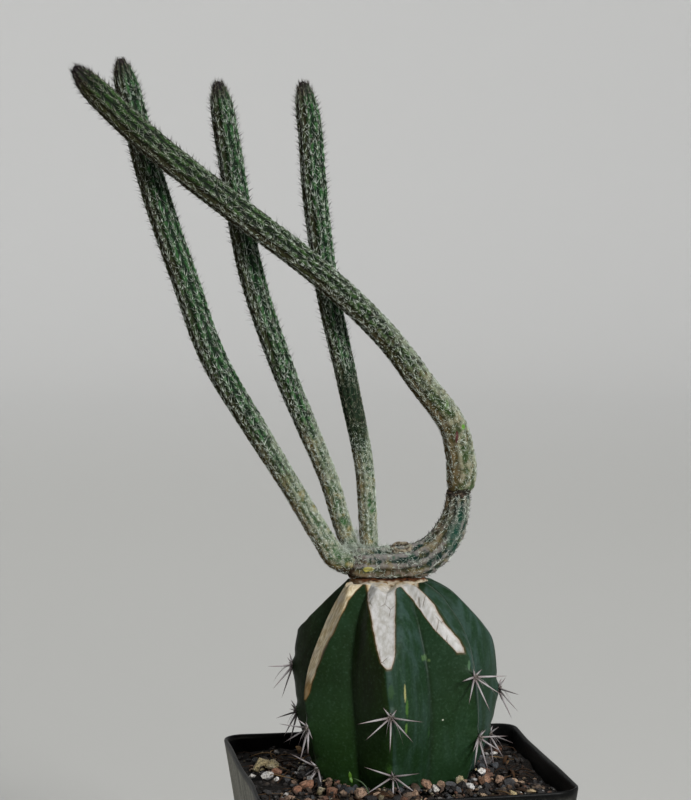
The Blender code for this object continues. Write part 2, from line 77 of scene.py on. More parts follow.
# The soil, as its solid has it.
SOIL_DEPTH_BELOW_RIM = 5.5
SOIL_EDGE = POT_HEIGHT - SOIL_DEPTH_BELOW_RIM
SOIL_FLOOR = 1.3
SOIL_HEAP = 2.8
SOIL_HEAP_REACH = 30
SOIL_ROUGHNESS = 1.4
SOIL_LUMP = 7
SOIL_INSET = 1.35                    # from the pot's outer face
SOIL_CORNER = POT_CORNER - SOIL_INSET
SOIL_REACH = (POT_FLOOR + (POT_RIM - POT_FLOOR) * SOIL_EDGE / POT_HEIGHT) / 2 - SOIL_INSET
SOIL_NOISE_SEED = 7

# The plant's turn against the pot, about the vertical.
PLANT_TURN = math.radians(-9.4)

# The stock: the crest and valley radii of its ribs at each height, and the ribs' turn near the top.
STOCK_CREST = (
    (-20.0, 7.0), (-15.0, 13.5), (-9.0, 18.0), (-3.0, 21.2), (3.0, 23.4), (9.0, 24.9), (15.0, 25.8),
    (21.0, 26.1), (27.0, 26.0), (33.0, 25.3), (38.0, 23.9), (43.0, 20.6), (46.9, 16.0),
)
STOCK_VALLEY = (
    (-20.0, 5.8), (-15.0, 11.2), (-9.0, 15.0), (-3.0, 17.0), (3.0, 18.2), (9.0, 19.0), (15.0, 19.5),
    (21.0, 19.7), (27.0, 19.2), (33.0, 17.8), (38.0, 15.8), (43.0, 12.6), (46.9, 9.6),
)
STOCK_TOP = 46.9
STOCK_SHOULDER = 43.5                # above it the right side is drawn in
STOCK_FOOT = -20.0
STOCK_TWIST = math.radians(-9)
STOCK_TWIST_START = 12
# Each rib: its direction in degrees, the height where its knife cut ends, the cut's distances from the
# middle there and at the top, how far it bulges, how brown its cork is, how many degrees more the rib
# turns at mid-height, how far its crest swells and at which height, how many degrees the knife was
# turned against the rib, and the heights of its areoles.
RIBS = (
    (-102, 32.9, 26.4, 12.6, 0.0, 0.5, 0, 1.2, 28, 0, (23.5, 11.7)),
    (-61, 18.9, 26.6, 13.0, 0.0, 0.75, 0, 1.1, 34, -8, (11.2, 0.6)),
    (-2, 28.6, 25.9, 11.8, 0.0, 0.05, 0, 0.0, 26, 0, (16.8, 1.2)),
    (57, 31.7, 24.4, 11.8, 0.0, 0.15, -5, 0.0, 26, 0, (25.2, 9.1)),
    (103, 31.5, 25.6, 11.8, 0.5, 0.4, 0, 1.5, 14, 0, (17.8, 5.7)),
    (157, 30.0, 25.4, 11.8, 0.0, 0.3, 0, 0.0, 26, 0, (22.0, 8.0)),
    (206, 27.0, 25.6, 11.8, 0.0, 0.6, 0, 0.0, 26, 0, (16.0, 3.0)),
)
RIB_TABLE = np.array([row[:10] for row in RIBS])
# The spines of one areole: direction in degrees (0 east, 90 up) and share of the full length.
SPINE_STAR = ((0, 1.0), (180, 1.0), (217, 0.97), (270, 1.0), (323, 0.97), (122, 0.4), (60, 0.3))
LOW_SPINE_STAR = ((24, 0.85), (150, 1.0), (205, 1.0), (268, 0.7), (334, 0.95), (100, 0.3))
SPINE_LENGTH = 8.9
SPINE_RADIUS = 0.31
SPINE_SPREAD = 0.75
SPINE_STAND_OFF = math.radians(24)
SPINE_FLOOR = SOIL_HEAP - SOIL_DEPTH_BELOW_RIM - 1.6    # no spine reaches lower than this
SPINE_STEPS = np.linspace(0, 1, 7)[:, None]
SPINE_TAPER = np.array((1.0, 0.97, 0.88, 0.74, 0.54, 0.3))
PAD_HAIRS = 160                      # in the woolly pad of one areole

STOCK_CREST_ROUND = 0.25             # how far a crest's edge is worn off
STOCK_FLANK_BULGE = 0.7
STOCK_STEPS_PER_RIB = 48
STOCK_TOP_RINGS = 12
CREST_SWELL_REACH = 14
MOUND_RISE = 0.55                    # of the swelling under each areole
NOTCH_DEPTH = 0.35                   # of the dent above it
CUT_HALF_WIDTH = 3.4                 # at the back
CUT_EDGE = 0.7                       # how far the edge of a knife cut is rounded
CUT_LIP = 0.16                       # height of the healed lip round a scar
CUT_SINK = 0.12

# The graft: the callus on the stock's top, the pinched ring, and the scar of a cut shoot.
CALLUS_ACROSS = -1.6
CALLUS_RINGS = 15
CALLUS_COLUMNS = 160
PINCH_HEIGHT = 2.3
PINCH_RINGS = 17
PINCH_COLUMNS = 64
SCAR_RINGS = 24
SCAR_COLUMNS = 72
# The edges of the three scars in front: rows of height, left edge and right edge, across the plant.
SCAR_EDGES = (
    ((18.4, -24.2, -22.6), (20.0, -24.4, -21.8), (24.5, -23.6, -20.5), (31.0, -22.4, -18.0),
     (37.0, -20.8, -14.8), (43.0, -18.1, -11.9), (46.0, -14.8, -9.2), (47.0, -13.6, -8.2)),
    ((28.6, -2.6, -1.3), (30.0, -3.8, -0.8), (32.8, -4.9, -0.4), (39.4, -6.1, -0.3), (46.2, -7.2, 0.0),
     (47.0, -7.4, 0.2)),
    ((31.4, 15.2, 17.0), (32.6, 14.0, 16.9), (34.0, 12.6, 16.0), (38.4, 8.4, 12.2), (42.4, 5.2, 9.6),
     (46.3, 2.4, 6.8), (47.0, 1.6, 6.2)),
)
# Small marks on the stock's skin: centre, half sizes, colour and strength.
STOCK_MARKS = (
    ((2.3, -24.5, 22.4), (0.5, 5, 3.8), (160, 156, 104), 0.7),
    ((2.8, -24.5, 18.6), (0.7, 5, 4.0), (72, 108, 44), 0.6),
    ((2.6, -24.5, 13.5), (0.6, 5, 2.4), (96, 132, 60), 0.5),
    ((7.4, -20.0, 30.2), (1.5, 6, 1.7), (96, 128, 76), 0.5),
    ((8.6, -20.0, 29.4), (0.8, 6, 1.0), (120, 146, 90), 0.4),
    ((12.0, -19.0, 14.4), (0.4, 6, 0.4), (190, 196, 176), 0.9),
    ((8.8, -21.0, 11.0), (0.7, 6, 3.4), (70, 112, 56), 0.5),
    ((-1.4, -25.5, 23.0), (1.3, 5, 3.4), (44, 72, 20), 0.4),
    ((18.2, -17.5, 28.2), (0.6, 5, 2.0), (92, 124, 92), 0.5),
    ((-1.5, -25.0, 2.0), (1.4, 5, 5.5), (58, 96, 30), 0.4),
)

# The stems: across, away, up from the rim and radius at each point, foot to tip.
BASE_ROUTE = (
    (-12.4, -0.4, 51.5, 3.9), (-9.5, -0.2, 51.1, 4.2), (-5.9, 0.0, 51.0, 4.5), (1.3, 0.0, 51.2, 4.7),
    (6.4, 0.0, 52.2, 4.6), (10.9, 0.0, 55.3, 4.2), (14.0, 0.0, 59.8, 3.8), (15.7, 0.0, 64.9, 3.2),
    (16.1, 0.0, 69.3, 2.9),
)
ARCHING_ROUTE = (
    (16.15, -0.05, 69.65, 2.9), (16.6, -0.4, 72.0, 3.6), (16.8, -0.8, 75.2, 3.9), (16.2, -1.5, 80.4, 3.7),
    (14.3, -2.3, 87.0, 3.5), (6.4, -3.8, 97.9, 3.3), (-0.9, -5.0, 107.8, 3.2), (-10.0, -6.4, 117.4, 3.2),
    (-23.4, -8.0, 129.0, 3.3), (-41.2, -9.6, 142.5, 3.4), (-63.3, -11.2, 160.2, 3.4),
    (-75.4, -12.4, 172.0, 3.2), (-79.2, -12.8, 176.3, 2.9),
)
LEFT_ROUTE = (
    (-11.4, -1.4, 51.3, 3.0), (-14.9, -2.2, 52.9, 3.0), (-18.0, -2.2, 57.4, 2.8), (-26.7, -1.3, 71.6, 2.6),
    (-34.9, -1.0, 84.9, 3.0), (-46.2, -0.7, 104.2, 3.4), (-53.0, -0.5, 123.4, 3.5),
    (-60.3, -0.3, 145.0, 3.5), (-67.1, -0.1, 170.9, 3.2), (-69.0, 0.0, 178.6, 2.9),
)
MIDDLE_ROUTE = (
    (-10.3, 2.9, 52.2, 2.3), (-13.3, 3.6, 60.3, 2.35), (-16.8, 3.2, 72.2, 2.4), (-23.2, 2.7, 87.8, 2.7),
    (-29.5, 2.6, 103.4, 3.0), (-36.7, 2.4, 126.0, 3.2), (-41.4, 2.2, 152.9, 3.2), (-43.9, 2.1, 168.2, 3.0),
    (-44.7, 2.0, 173.0, 2.7),
)
RIGHT_ROUTE = (
    (-6.5, 2.3, 52.5, 2.4), (-6.9, 3.0, 61.9, 2.3), (-7.9, 3.0, 76.0, 2.4), (-12.2, 3.0, 97.8, 2.7),
    (-16.9, 3.0, 119.4, 3.0), (-20.4, 3.0, 145.4, 3.2), (-21.5, 3.0, 160.7, 3.1), (-22.8, 3.0, 169.2, 2.9),
    (-23.4, 3.0, 173.0, 2.6),
)
STEM_TIP_LENGTH = 9.0
STEM_TIP_ROUND = 1.8
STEM_TIP_FULLNESS = 0.65
STEM_TIP_POINT = 0.16
BASE_END_LENGTH = 2.2
ROUTE_STEPS = 24                     # from one point of a route to the next

# How a stem ages: at its foot, the run in which it loses 1, and at least.
SHOOT_AGEING = (1.1, 52, 0)
ARCH_AGEING = (0.9, 78, 0)
BASE_AGEING = (1.0, 90, 0.45)

# What the fine stems have beyond their solids.
STEM_RIBS = 10
COLUMNS_PER_RIB = 7
RIB_DEPTH = 0.10                     # valley depth as a share of the radius
BASE_RIB_DEPTH = 0.16
RIB_FULLNESS = 0.7
RIBS_GROWN = 60                      # the run in which a stem's ribs gain their full depth
RING_STEP = 0.5
AREOLE_STEP = 1.75                   # between the areoles of one rib
AREOLES_CLOSE_UP = 9                 # how far below the tip the areoles start to close up
LAST_AREOLE_GAP = 0.4
GOLDEN_SHARE = 0.618                 # staggers the areoles of the ribs
AREOLE_RISE = 0.12
AREOLE_MOUND = (0.5, 0.26)           # half length, and half width in ribs
TUBERCLE_RISE = 0.2
TUBERCLE_MOUND = (0.75, 0.42)
BRISTLE_RADIUS = 0.075
BUD_LENGTH = 7.5                     # how far below its tip a shoot is dark and its bristles stand out
# The flat bristles of one areole: bearing in degrees from the stem's line, length, share of areoles.
BRISTLE_FAN = (
    (0, 2.7, 0.95), (12, 2.6, 0.9), (-12, 2.6, 0.9), (28, 2.3, 0.85), (-28, 2.3, 0.85), (52, 1.7, 0.75),
    (-52, 1.7, 0.75), (92, 1.0, 0.45), (-92, 1.0, 0.45), (152, 1.6, 0.7), (-152, 1.6, 0.7), (180, 1.8, 0.8),
)
OLD_HAIRS = 2.8                      # short woolly hairs on each square millimetre of old stem
HAIR_LENGTH = (0.5, 1.2)
HAIR_RADIUS = (0.045, 0.07)
# The dark bristles that stand off an areole: the share of areoles that have each, and their sizes.
SPIKE_SHARES = (1.0, 0.95, 0.85, 0.7)
SPIKE_REACH = 75                     # how far below a shoot's tip they go
SPIKE_LENGTH = (1.2, 2.1)
SPIKE_RADIUS = 0.06
# Wool at the feet of the shoots: centre, half sizes, how many hairs, and how long.
FOOT_WOOL = (
    ((-10.4, 1.0, 55.0), (4.6, 3.4, 1.4), 500, 1.8), ((-14.2, -2.6, 54.0), (2.8, 2.6, 2.8), 450, 1.5),
    ((-6.7, 2.4, 56.6), (2.5, 2.5, 2.4), 350, 1.5), ((-11.6, 3.1, 57.4), (2.6, 2.6, 2.6), 350, 1.5),
    ((-9.5, -2.8, 52.0), (3.4, 1.6, 2.6), 450, 1.5), ((-3.0, -0.5, 55.0), (6.0, 2.6, 0.7), 300, 1.3),
)

# Maps: the height of a shell's end fans, and the width of one strand, whose place is its tone.
FAN_STRIP = 0.002
TONE_STRIP = 1 / 256

# The grit: how many stones, their widths, and the stones that the picture shows best, each as
# across, away, width, kind of stone (0 dark to 1 white) and height above the soil.
GRIT_STONES = 380
GRIT_WIDTH = (1.9, 4.4)
FINE_GRIT = 1900
FINE_GRIT_WIDTH = (0.7, 1.9)
STOCK_CLEARANCE = 20.2               # how near to the plant's middle a stone may lie
STONE_STAND = 0.2                    # the middle's height over the soil, in heights of the stone
CHOSEN_STONES = (
    (-34.4, 6.6, 5.6, 0.82, 1.0), (-31.2, 5.6, 4.8, 0.84, 1.2), (-32.6, -3.5, 3.6, 0.99, 0.9),
    (-30.2, -6.5, 3.0, 0.97, 0.9), (-18.6, -19.0, 4.4, 0.84, 0.8), (9.6, -23.0, 3.0, 0.97, 1.4),
    (-24.5, -17.5, 4.6, 0.5, 0.2), (-22.3, -14.6, 4.4, 0.52, 0.9), (-16.0, -22.0, 5.2, 0.52, 0.6),
    (-9.0, -23.5, 4.6, 0.64, 0.9), (-2.0, -25.0, 4.0, 0.34, 0.6), (4.5, -24.0, 4.2, 0.6, 1.2),
    (7.6, -21.8, 3.8, 0.58, 2.5), (11.0, -20.8, 3.6, 0.64, 2.3), (15.9, -17.6, 4.0, 0.84, 2.7),
    (18.6, -15.8, 3.7, 0.99, 1.2), (22.6, -11.8, 4.6, 0.55, 1.6), (26.3, -9.8, 4.4, 0.62, 0.8),
    (4.8, -21.4, 3.8, 0.3, 1.9), (1.4, -22.2, 3.2, 0.16, 1.2), (13.6, -18.6, 3.0, 0.2, 2.2),
    (30.0, -8.0, 3.8, 0.66, 0.5), (22.8, 18.0, 4.2, 0.2, 0.5), (26.1, 6.7, 4.4, 0.17, 0.8),
    (24.2, 10.5, 3.8, 0.22, 1.4), (26.5, 20.0, 2.3, 0.98, 1.4), (22.4, 1.5, 4.0, 0.15, 1.5),
    (34.0, -14.0, 3.2, 0.74, 0.4), (-27.5, -6.0, 3.6, 0.2, 0.8), (-30.0, -1.0, 4.0, 0.5, 0.6),
    (-24.0, 2.5, 3.0, 0.97, 0.8), (-20.0, 26.0, 5.0, 0.6, 0.3), (4.0, 30.0, 4.6, 0.5, 0.3),
)
FIBRES = 110
BARK_CHIPS = 30

# The camera: where it stands in the plant's axes, its height over the rim, pitch and lens.
CAMERA_ACROSS = -12.6
CAMERA_DISTANCE = 690.1
CAMERA_HEIGHT = 161.1
CAMERA_PITCH = math.radians(5.64)
CAMERA_LENS = 123.3

# The stage: a level floor, a quarter-round cove and a wall, all round.
FLOOR_RADII = (700, 1300)
FLOOR_COLUMNS = 72
WALL_RADIUS = 2400
WALL_TOP = 2600
COVE = 700
# A soft light from the right and in front, a weak one from above, and one for the wall behind: where
# each stands and what it is turned to, in the plant's axes, then its width, power and colour.
LIGHTS = (
    ("window", (575, -960, 570), (-15, 0, 70), 300, 17, (1.0, 0.995, 0.985)),
    ("above", (200, -200, 1500), (-15, 0, 70), 1200, 2, (0.97, 0.99, 1.0)),
    ("wall_wash", (-200, 700, 1900), (-150, 2500, 350), 1400, 26, (1.0, 1.0, 1.0)),
)
SKY_COLOUR = (0.96, 0.98, 1.0, 1)
SKY_STRENGTH = 0.18


def linear(colour):
    """A screen colour as the linear numbers that shaders take, with no transparency."""
    shares = [part / 255 for part in colour]
    parts = [share / 12.92 if share <= 0.04045 else ((share + 0.055) / 1.055) ** 2.4 for share in shares]
    return (*parts, 1)


class Signal:
    """A shader socket that works in Python expressions: an operator adds its Math node."""

    def __init__(self, finish, socket):
        self.finish = finish
        self.socket = socket

    def math(self, operation, *values):
        return self.finish.node("ShaderNodeMath", {"operation": operation}, dict(enumerate(values)))

    def __add__(self, other):
        return self.math("ADD", self, other)

    def __sub__(self, other):
        return self.math("SUBTRACT", self, other)

    def __rsub__(self, other):
        return self.math("SUBTRACT", other, self)

    def __mul__(self, other):
        return self.math("MULTIPLY", self, other)

    __radd__ = __add__
    __rmul__ = __mul__

    def between(self, low, high):
        """0 at low, 1 at high, and a smooth step between them; low may be the larger."""
        settings = {"interpolation_type": "SMOOTHSTEP"}
        inputs = {"Value": self, "From Min": low, "From Max": high}
        return self.finish.node("ShaderNodeMapRange", settings, inputs)


class Finish:
    """A material in the making: a Principled shader and the nodes that feed it."""

    def __init__(self, name, **constants):
        self.material = bpy.data.materials.new(name)
        self.material.use_nodes = True
        self.tree = self.material.node_tree
        self.shader = self.tree.nodes["Principled BSDF"]
        for socket, value in constants.items():
            self.shader.inputs[socket.replace("_", " ")].default_value = value

    def node(self, kind, settings, inputs, output=0):
        """Adds one node: its settings first, then the values or links of its sockets."""
        made = self.tree.nodes.new(kind)
        for name, value in settings.items():
            if name != "stops":
                setattr(made, name, value)
        for place, (position, colour) in enumerate(settings.get("stops", ())):
            stop = made.color_ramp.elements[place] if place < 2 else made.color_ramp.elements.new(position)
            stop.position = position
            stop.color = linear(colour)
        for name, value in inputs.items():
            self.feed(made.inputs[name], value)
        return Signal(self, made.outputs[output])

    def feed(self, socket, value):
        """Links a signal to a socket, or sets its value, which in a colour socket is a screen colour."""
        if isinstance(value, Signal):
            self.tree.links.new(value.socket, socket)
        else:
            socket.default_value = linear(value) if socket.type == "RGBA" else value

    def colour(self, value):
        self.feed(self.shader.inputs["Base Color"], value)

    def roughness(self, value):
        self.feed(self.shader.inputs["Roughness"], value)

    def attribute(self, name):
        """A value stored in the mesh's points."""
        return self.node("ShaderNodeAttribute", {"attribute_name": name}, {}, "Fac")

    def vector(self, operation, *values, output="Vector"):
        return self.node("ShaderNodeVectorMath", {"operation": operation}, dict(enumerate(values)), output)

    def place(self, stretch=(1, 1, 1)):
        """Where a point is, in millimetres, with each axis multiplied by its stretch."""
        here = self.node("ShaderNodeTexCoord", {}, {}, "Object")
        return self.vector("MULTIPLY", here, tuple(share / MM for share in stretch))

    def along(self, axis):
        """Where a point is along one axis, in millimetres."""
        return self.node("ShaderNodeSeparateXYZ", {}, {0: self.place()}, axis)

    def cloud(self, size, detail=2.0, stretch=(1, 1, 1), roughness=0.5):
        """Soft random values from 0 to 1 in lumps of a size in millimetres."""
        inputs = {"Vector": self.place(stretch), "Scale": 1 / size, "Detail": detail, "Roughness": roughness}
        return self.node("ShaderNodeTexNoise", {}, inputs, "Fac")

    def cracks(self, size, stretch=(1, 1, 1)):
        """The distance from the edges of random cells, in shares of their size."""
        inputs = {"Vector": self.place(stretch), "Scale": 1 / size}
        return self.node("ShaderNodeTexVoronoi", {"feature": "DISTANCE_TO_EDGE"}, inputs, "Distance")

    def mix(self, factor, first, second):
        """A colour between two."""
        settings = {"data_type": "RGBA", "clamp_factor": True}
        return self.node("ShaderNodeMix", settings, {0: factor, 6: first, 7: second}, 2)

    def layers(self, colour, *coats):
        """A colour with coats laid over it in turn, each with how much of it shows and its colour."""
        for shown, coat in coats:
            colour = self.mix(shown, colour, coat)
        return colour

    def ramp(self, factor, *stops):
        """A colour from a row of stops."""
        return self.node("ShaderNodeValToRGB", {"stops": stops}, {"Fac": factor}, "Color")

    def spot(self, centre, size):
        """1 in an upright oval at a point of the plant, fading to 0 at its edge."""
        away = self.vector("SUBTRACT", self.place(), tuple(PLANT @ Vector(centre)))
        oval = self.vector("MULTIPLY", away, tuple(1 / half for half in size))
        return self.vector("LENGTH", oval, output="Value").between(1.0, 0.3)

    def bump(self, height, depth, strength=1.0):
        """Relief of a depth in millimetres on the shader's normal."""
        inputs = {"Height": height, "Distance": depth * MM, "Strength": strength}
        self.feed(self.shader.inputs["Normal"], self.node("ShaderNodeBump", {}, inputs))


PLANT = Matrix.Translation((0, 0, POT_HEIGHT)) @ Matrix.Rotation(PLANT_TURN, 4, "Z")


def in_part(points):
    """Points from the plant's axes to the part's."""
    turn = np.array(PLANT.to_3x3())
    return np.asarray(points) @ turn.T + np.array(PLANT.translation)


def in_plant(points):
    """Points from the part's axes to the plant's."""
    return (points - np.array(PLANT.translation)) @ np.array(PLANT.to_3x3())


def lumps(points, size, seed=0):
    """Smooth random values, about -1 to 1, for lumps of a size at points in millimetres."""
    points = np.asarray(points, float)
    shifted = points.reshape(-1, 3) / size + seed * 17.3
    return np.array([noise.noise(spot) for spot in shifted.tolist()]).reshape(points.shape[:-1])


def unit(vectors):
    """Vectors at length 1."""
    return vectors / np.maximum(np.linalg.norm(vectors, axis=-1, keepdims=True), 1e-9)


def random_directions(count):
    """Evenly spread random directions."""
    return unit(draw.normal(size=(count, 3)))


def add_object(name, data):
    """Puts an object into the scene."""
    made = bpy.data.objects.new(name, data)
    bpy.context.scene.collection.objects.link(made)
    return made


def add_mesh(name, points, faces, finish, smooth=True):
    """A mesh object from points in millimetres."""
    mesh = bpy.data.meshes.new(name)
    mesh.from_pydata((np.asarray(points, float) * MM).tolist(), [], faces)
    if smooth:
        mesh.shade_smooth()
    mesh.materials.append(finish.material)
    return add_object(name, mesh)


def add_piece(name, points, faces, finish, nodes=(), values=None, corners=None, smooth=True):
    """Makes a mesh piece from points in the part's axes and puts it on the part's body."""
    piece = add_mesh(name, points, faces, finish, smooth)
    for label, numbers in (values or {}).items():
        stored = piece.data.attributes.new(label, "FLOAT", "POINT")
        stored.data.foreach_set("value", np.asarray(numbers, np.float32))
    if corners is not None:
        layout = piece.data.uv_layers.new(name="OFBake")
        layout.uv.foreach_set("vector", np.asarray(corners, np.float32).ravel())
    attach(piece, "root")
    if nodes:
        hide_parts(*nodes)
    return piece


def repeated(faces, copies, points):
    """The faces of many copies of a shape that has some points."""
    return [tuple(points * copy + corner for corner in face) for copy in range(copies) for face in faces]


def tube_faces(rings, columns):
    """Faces of a tube of rings, and where their corners lie on a map.

    Its ends are fans, whose middle points come after the rings' points."""
    faces = []
    corners = []
    steps = rings - 1
    for ring in range(steps):
        low, high = ring * columns, (ring + 1) * columns
        near, far = ring / steps, (ring + 1) / steps
        for column in range(columns):
            following = (column + 1) % columns
            faces.append((low + column, low + following, high + following, high + column))
            left, right = column / columns, (column + 1) / columns
            corners += [(near, left), (near, right), (far, right), (far, left)]
    for end, edge, low in ((0, FAN_STRIP, 0), (1, 1 - FAN_STRIP, steps * columns)):
        for column in range(columns):
            sides = [(column, column / columns), ((column + 1) % columns, (column + 1) / columns)]
            if end == 0:
                sides.reverse()
            faces.append((rings * columns + end, low + sides[0][0], low + sides[1][0]))
            corners += [(end, (column + 0.5) / columns), (edge, sides[0][1]), (edge, sides[1][1])]
    return faces, corners


def add_shell(name, rings, middles, finish, nodes=(), values=None):
    """A closed piece from rings of points in the part's axes and the middles of its two end fans."""
    faces, corners = tube_faces(*rings.shape[:2])
    points = np.vstack([rings.reshape(-1, 3), middles])
    flat = {}
    for label, grid in (values or {}).items():
        flat[label] = np.concatenate([np.ravel(grid), [np.ravel(grid)[0], np.ravel(grid)[-1]]])
    return add_piece(name, points, faces, finish, nodes, flat, corners)


def centripetal(points, share):
    """A point at a share, 0 to 1, between the middle two of four, on a curve through all."""
    first, second, third, fourth = points
    knots = [0.0]
    for near, far in ((first, second), (second, third), (third, fourth)):
        knots.append(knots[-1] + max(1e-6, (far - near).length) ** 0.5)
    at = knots[1] + (knots[2] - knots[1]) * share

    def blend(low, high, start, end):
        return low + (high - low) * ((at - start) / (end - start))

    near = blend(first, second, knots[0], knots[1])
    middle = blend(second, third, knots[1], knots[2])
    far = blend(third, fourth, knots[2], knots[3])
    lower = blend(near, middle, knots[0], knots[2])
    upper = blend(middle, far, knots[1], knots[3])
    return blend(lower, upper, knots[1], knots[2])


class Stem:
    """A stem's line, with a frame, a radius and an age at every run along it.

    Its ageing is its age at the foot, the run in which it loses 1, and its least age. Foot ribs are
    the share of the ribs' depth at the foot."""

    def __init__(self, route, ageing, foot_ribs=0.4, rib_depth=RIB_DEPTH, start_length=0.0,
                 tip_length=STEM_TIP_LENGTH):
        points = [Vector(row[:3]) for row in route]
        ends = [points[0] * 2 - points[1], *points, points[-1] * 2 - points[-2]]
        track = []
        radii = []
        for index in range(len(points) - 1):
            for step in range(ROUTE_STEPS):
                share = step / ROUTE_STEPS
                track.append(centripetal(ends[index:index + 4], share))
                radii.append(route[index][3] + (route[index + 1][3] - route[index][3]) * share)
        track = np.array([*track, points[-1]])
        radii = np.array([*radii, route[-1][3]])
        runs = np.concatenate([[0], np.cumsum(np.linalg.norm(np.diff(track, axis=0), axis=1))])
        self.total = float(runs[-1])
        self.ageing = ageing
        self.start_length = start_length
        self.tip_length = tip_length
        self.rib_depth = rib_depth
        self.foot_ribs = foot_ribs
        self.runs = np.linspace(0, self.total, max(2, round(self.total / RING_STEP)) + 1)
        self.middles = np.stack([np.interp(self.runs, runs, track[:, axis]) for axis in range(3)], 1)
        self.radii = np.interp(self.runs, runs, radii)
        self.along = unit(np.gradient(self.middles, axis=0))
        side = Vector((0, 1, 0))
        sides = []
        for along in self.along:
            side = (side - Vector(along) * side.dot(Vector(along))).normalized()
            sides.append(side.copy())
        self.side = np.array(sides)
        self.over = np.cross(self.along, self.side)

    def read(self, table, runs):
        """Rows of one of the stem's tables at the given runs."""
        return np.stack([np.interp(runs, self.runs, table[:, axis]) for axis in range(3)], -1)

    def age(self, runs):
        """How old and corky the stem is, 1 at most."""
        foot, length, least = self.ageing
        return np.clip(foot - runs / length, least, 1)

    def bud(self, runs):
        """1 at a shoot's tip, falling to 0 below its bud."""
        return np.clip(1 - (self.total - runs) / BUD_LENGTH, 0, 1) * (self.tip_length > 0)

    def taper(self, runs):
        """Share of the radius that the rounded ends leave."""
        share = np.ones_like(runs)
        for gap, length in ((runs, self.start_length), (self.total - runs, self.tip_length)):
            if length:
                near = np.clip(gap / length, 0, 1)
                rounded = (1 - (1 - near) ** STEM_TIP_ROUND) ** STEM_TIP_FULLNESS
                share = share * (STEM_TIP_POINT + (1 - STEM_TIP_POINT) * rounded)
        return share

    def outward(self, runs, turns):
        """The direction away from the centre line at a turn, in whole turns."""
        angle = (turns * math.tau)[..., None]
        return unit(self.read(self.side, runs) * np.cos(angle) + self.read(self.over, runs) * np.sin(angle))

    def aside(self, runs, turns):
        """The direction round the stem, in which its turns grow."""
        angle = (turns * math.tau)[..., None]
        return unit(self.read(self.over, runs) * np.cos(angle) - self.read(self.side, runs) * np.sin(angle))

    def thickness(self, runs):
        """The radius at a run, with the rounded ends."""
        return np.interp(runs, self.runs, self.radii) * self.taper(runs)

    def facing(self, runs, turns):
        """The way the skin faces: outward, and forward where the stem narrows to its tip."""
        narrowing = (self.thickness(runs - 0.2) - self.thickness(runs + 0.2)) / 0.4
        forward = self.read(self.along, runs) * narrowing[..., None]
        return unit(self.outward(runs, turns) + forward)

    def surface(self, runs, turns, lift=0.0):
        """Points on the ribbed skin, or above it by a lift."""
        crest = 0.5 + 0.5 * np.cos(turns * STEM_RIBS * math.tau)
        depth = self.rib_depth * np.clip(self.foot_ribs + runs / RIBS_GROWN, 0, 1)
        radius = self.thickness(runs) * (1 - depth * (1 - crest ** RIB_FULLNESS))
        spots = self.read(self.middles, runs) + self.outward(runs, turns) * radius[..., None]
        return spots + self.facing(runs, turns) * np.broadcast_to(lift, radius.shape)[..., None]

    def areoles(self, first_run):
        """Runs and turns of the areoles: along each rib's crest, staggered, closer near the tip."""
        runs = []
        turns = []
        for rib in range(STEM_RIBS):
            run = first_run + AREOLE_STEP * ((rib * GOLDEN_SHARE) % 1)
            while run < self.total - LAST_AREOLE_GAP:
                runs.append(run)
                turns.append(rib / STEM_RIBS)
                spread = min(1.0, (self.total - run) / AREOLES_CLOSE_UP)
                run += AREOLE_STEP * (0.45 + 0.55 * spread)
        runs = np.array(runs) + draw.uniform(-0.3, 0.3, len(runs))
        return np.clip(runs, 0, self.total - 0.2), np.array(turns) + draw.normal(0, 0.011, len(runs))


def add_skin(node, stem, spots, finish, roughness=0.12):
    """A stem's ribbed skin, with a tubercle under each areole and rough bark where it is old."""
    columns = STEM_RIBS * COLUMNS_PER_RIB
    runs, turns = np.meshgrid(stem.runs, np.arange(columns) / columns, indexing="ij")
    wool = np.zeros_like(runs)
    tubercle = np.zeros_like(runs)
    for run, turn in zip(*spots):
        low, high = np.searchsorted(stem.runs, (run - 2, run + 2))
        beside = ((turns[low:high] - turn + 0.5) % 1 - 0.5) * STEM_RIBS
        beyond = runs[low:high] - run
        for swelling, length, width in ((wool, *AREOLE_MOUND), (tubercle, *TUBERCLE_MOUND)):
            mound = np.exp(-(beyond / length) ** 2 - (beside / width) ** 2)
            swelling[low:high] = np.maximum(swelling[low:high], mound)
    old = stem.age(runs)
    flat = stem.surface(runs, turns)
    rough = 1.3 * lumps(flat, 1.3, 1) + 1.4 * lumps(flat, 3.6, 2)
    lift = AREOLE_RISE * wool + TUBERCLE_RISE * (tubercle - 0.5) * (1 - 0.5 * old)
    points = stem.surface(runs, turns, lift + (0.035 + roughness * old) * rough)
    ends = np.array([stem.middles[0], stem.middles[-1] + stem.along[-1] * 0.25])
    facing = in_part(stem.outward(runs, turns)) - in_part(np.zeros(3))
    crest = 0.5 + 0.5 * np.cos(turns * STEM_RIBS * math.tau)
    values = {
        "crest": np.clip(0.65 * crest + 0.5 * tubercle, 0, 1),
        "wool": wool,
        "age": old,
        # How far the skin faces left and down, away from the light: the finish paints shade and light by it.
        "shaded": -0.75 * facing[..., 0] - 0.55 * facing[..., 2],
        "bud": stem.bud(runs),
    }
    add_shell(node + "_skin", in_part(points), in_part(ends), finish, [node], values)


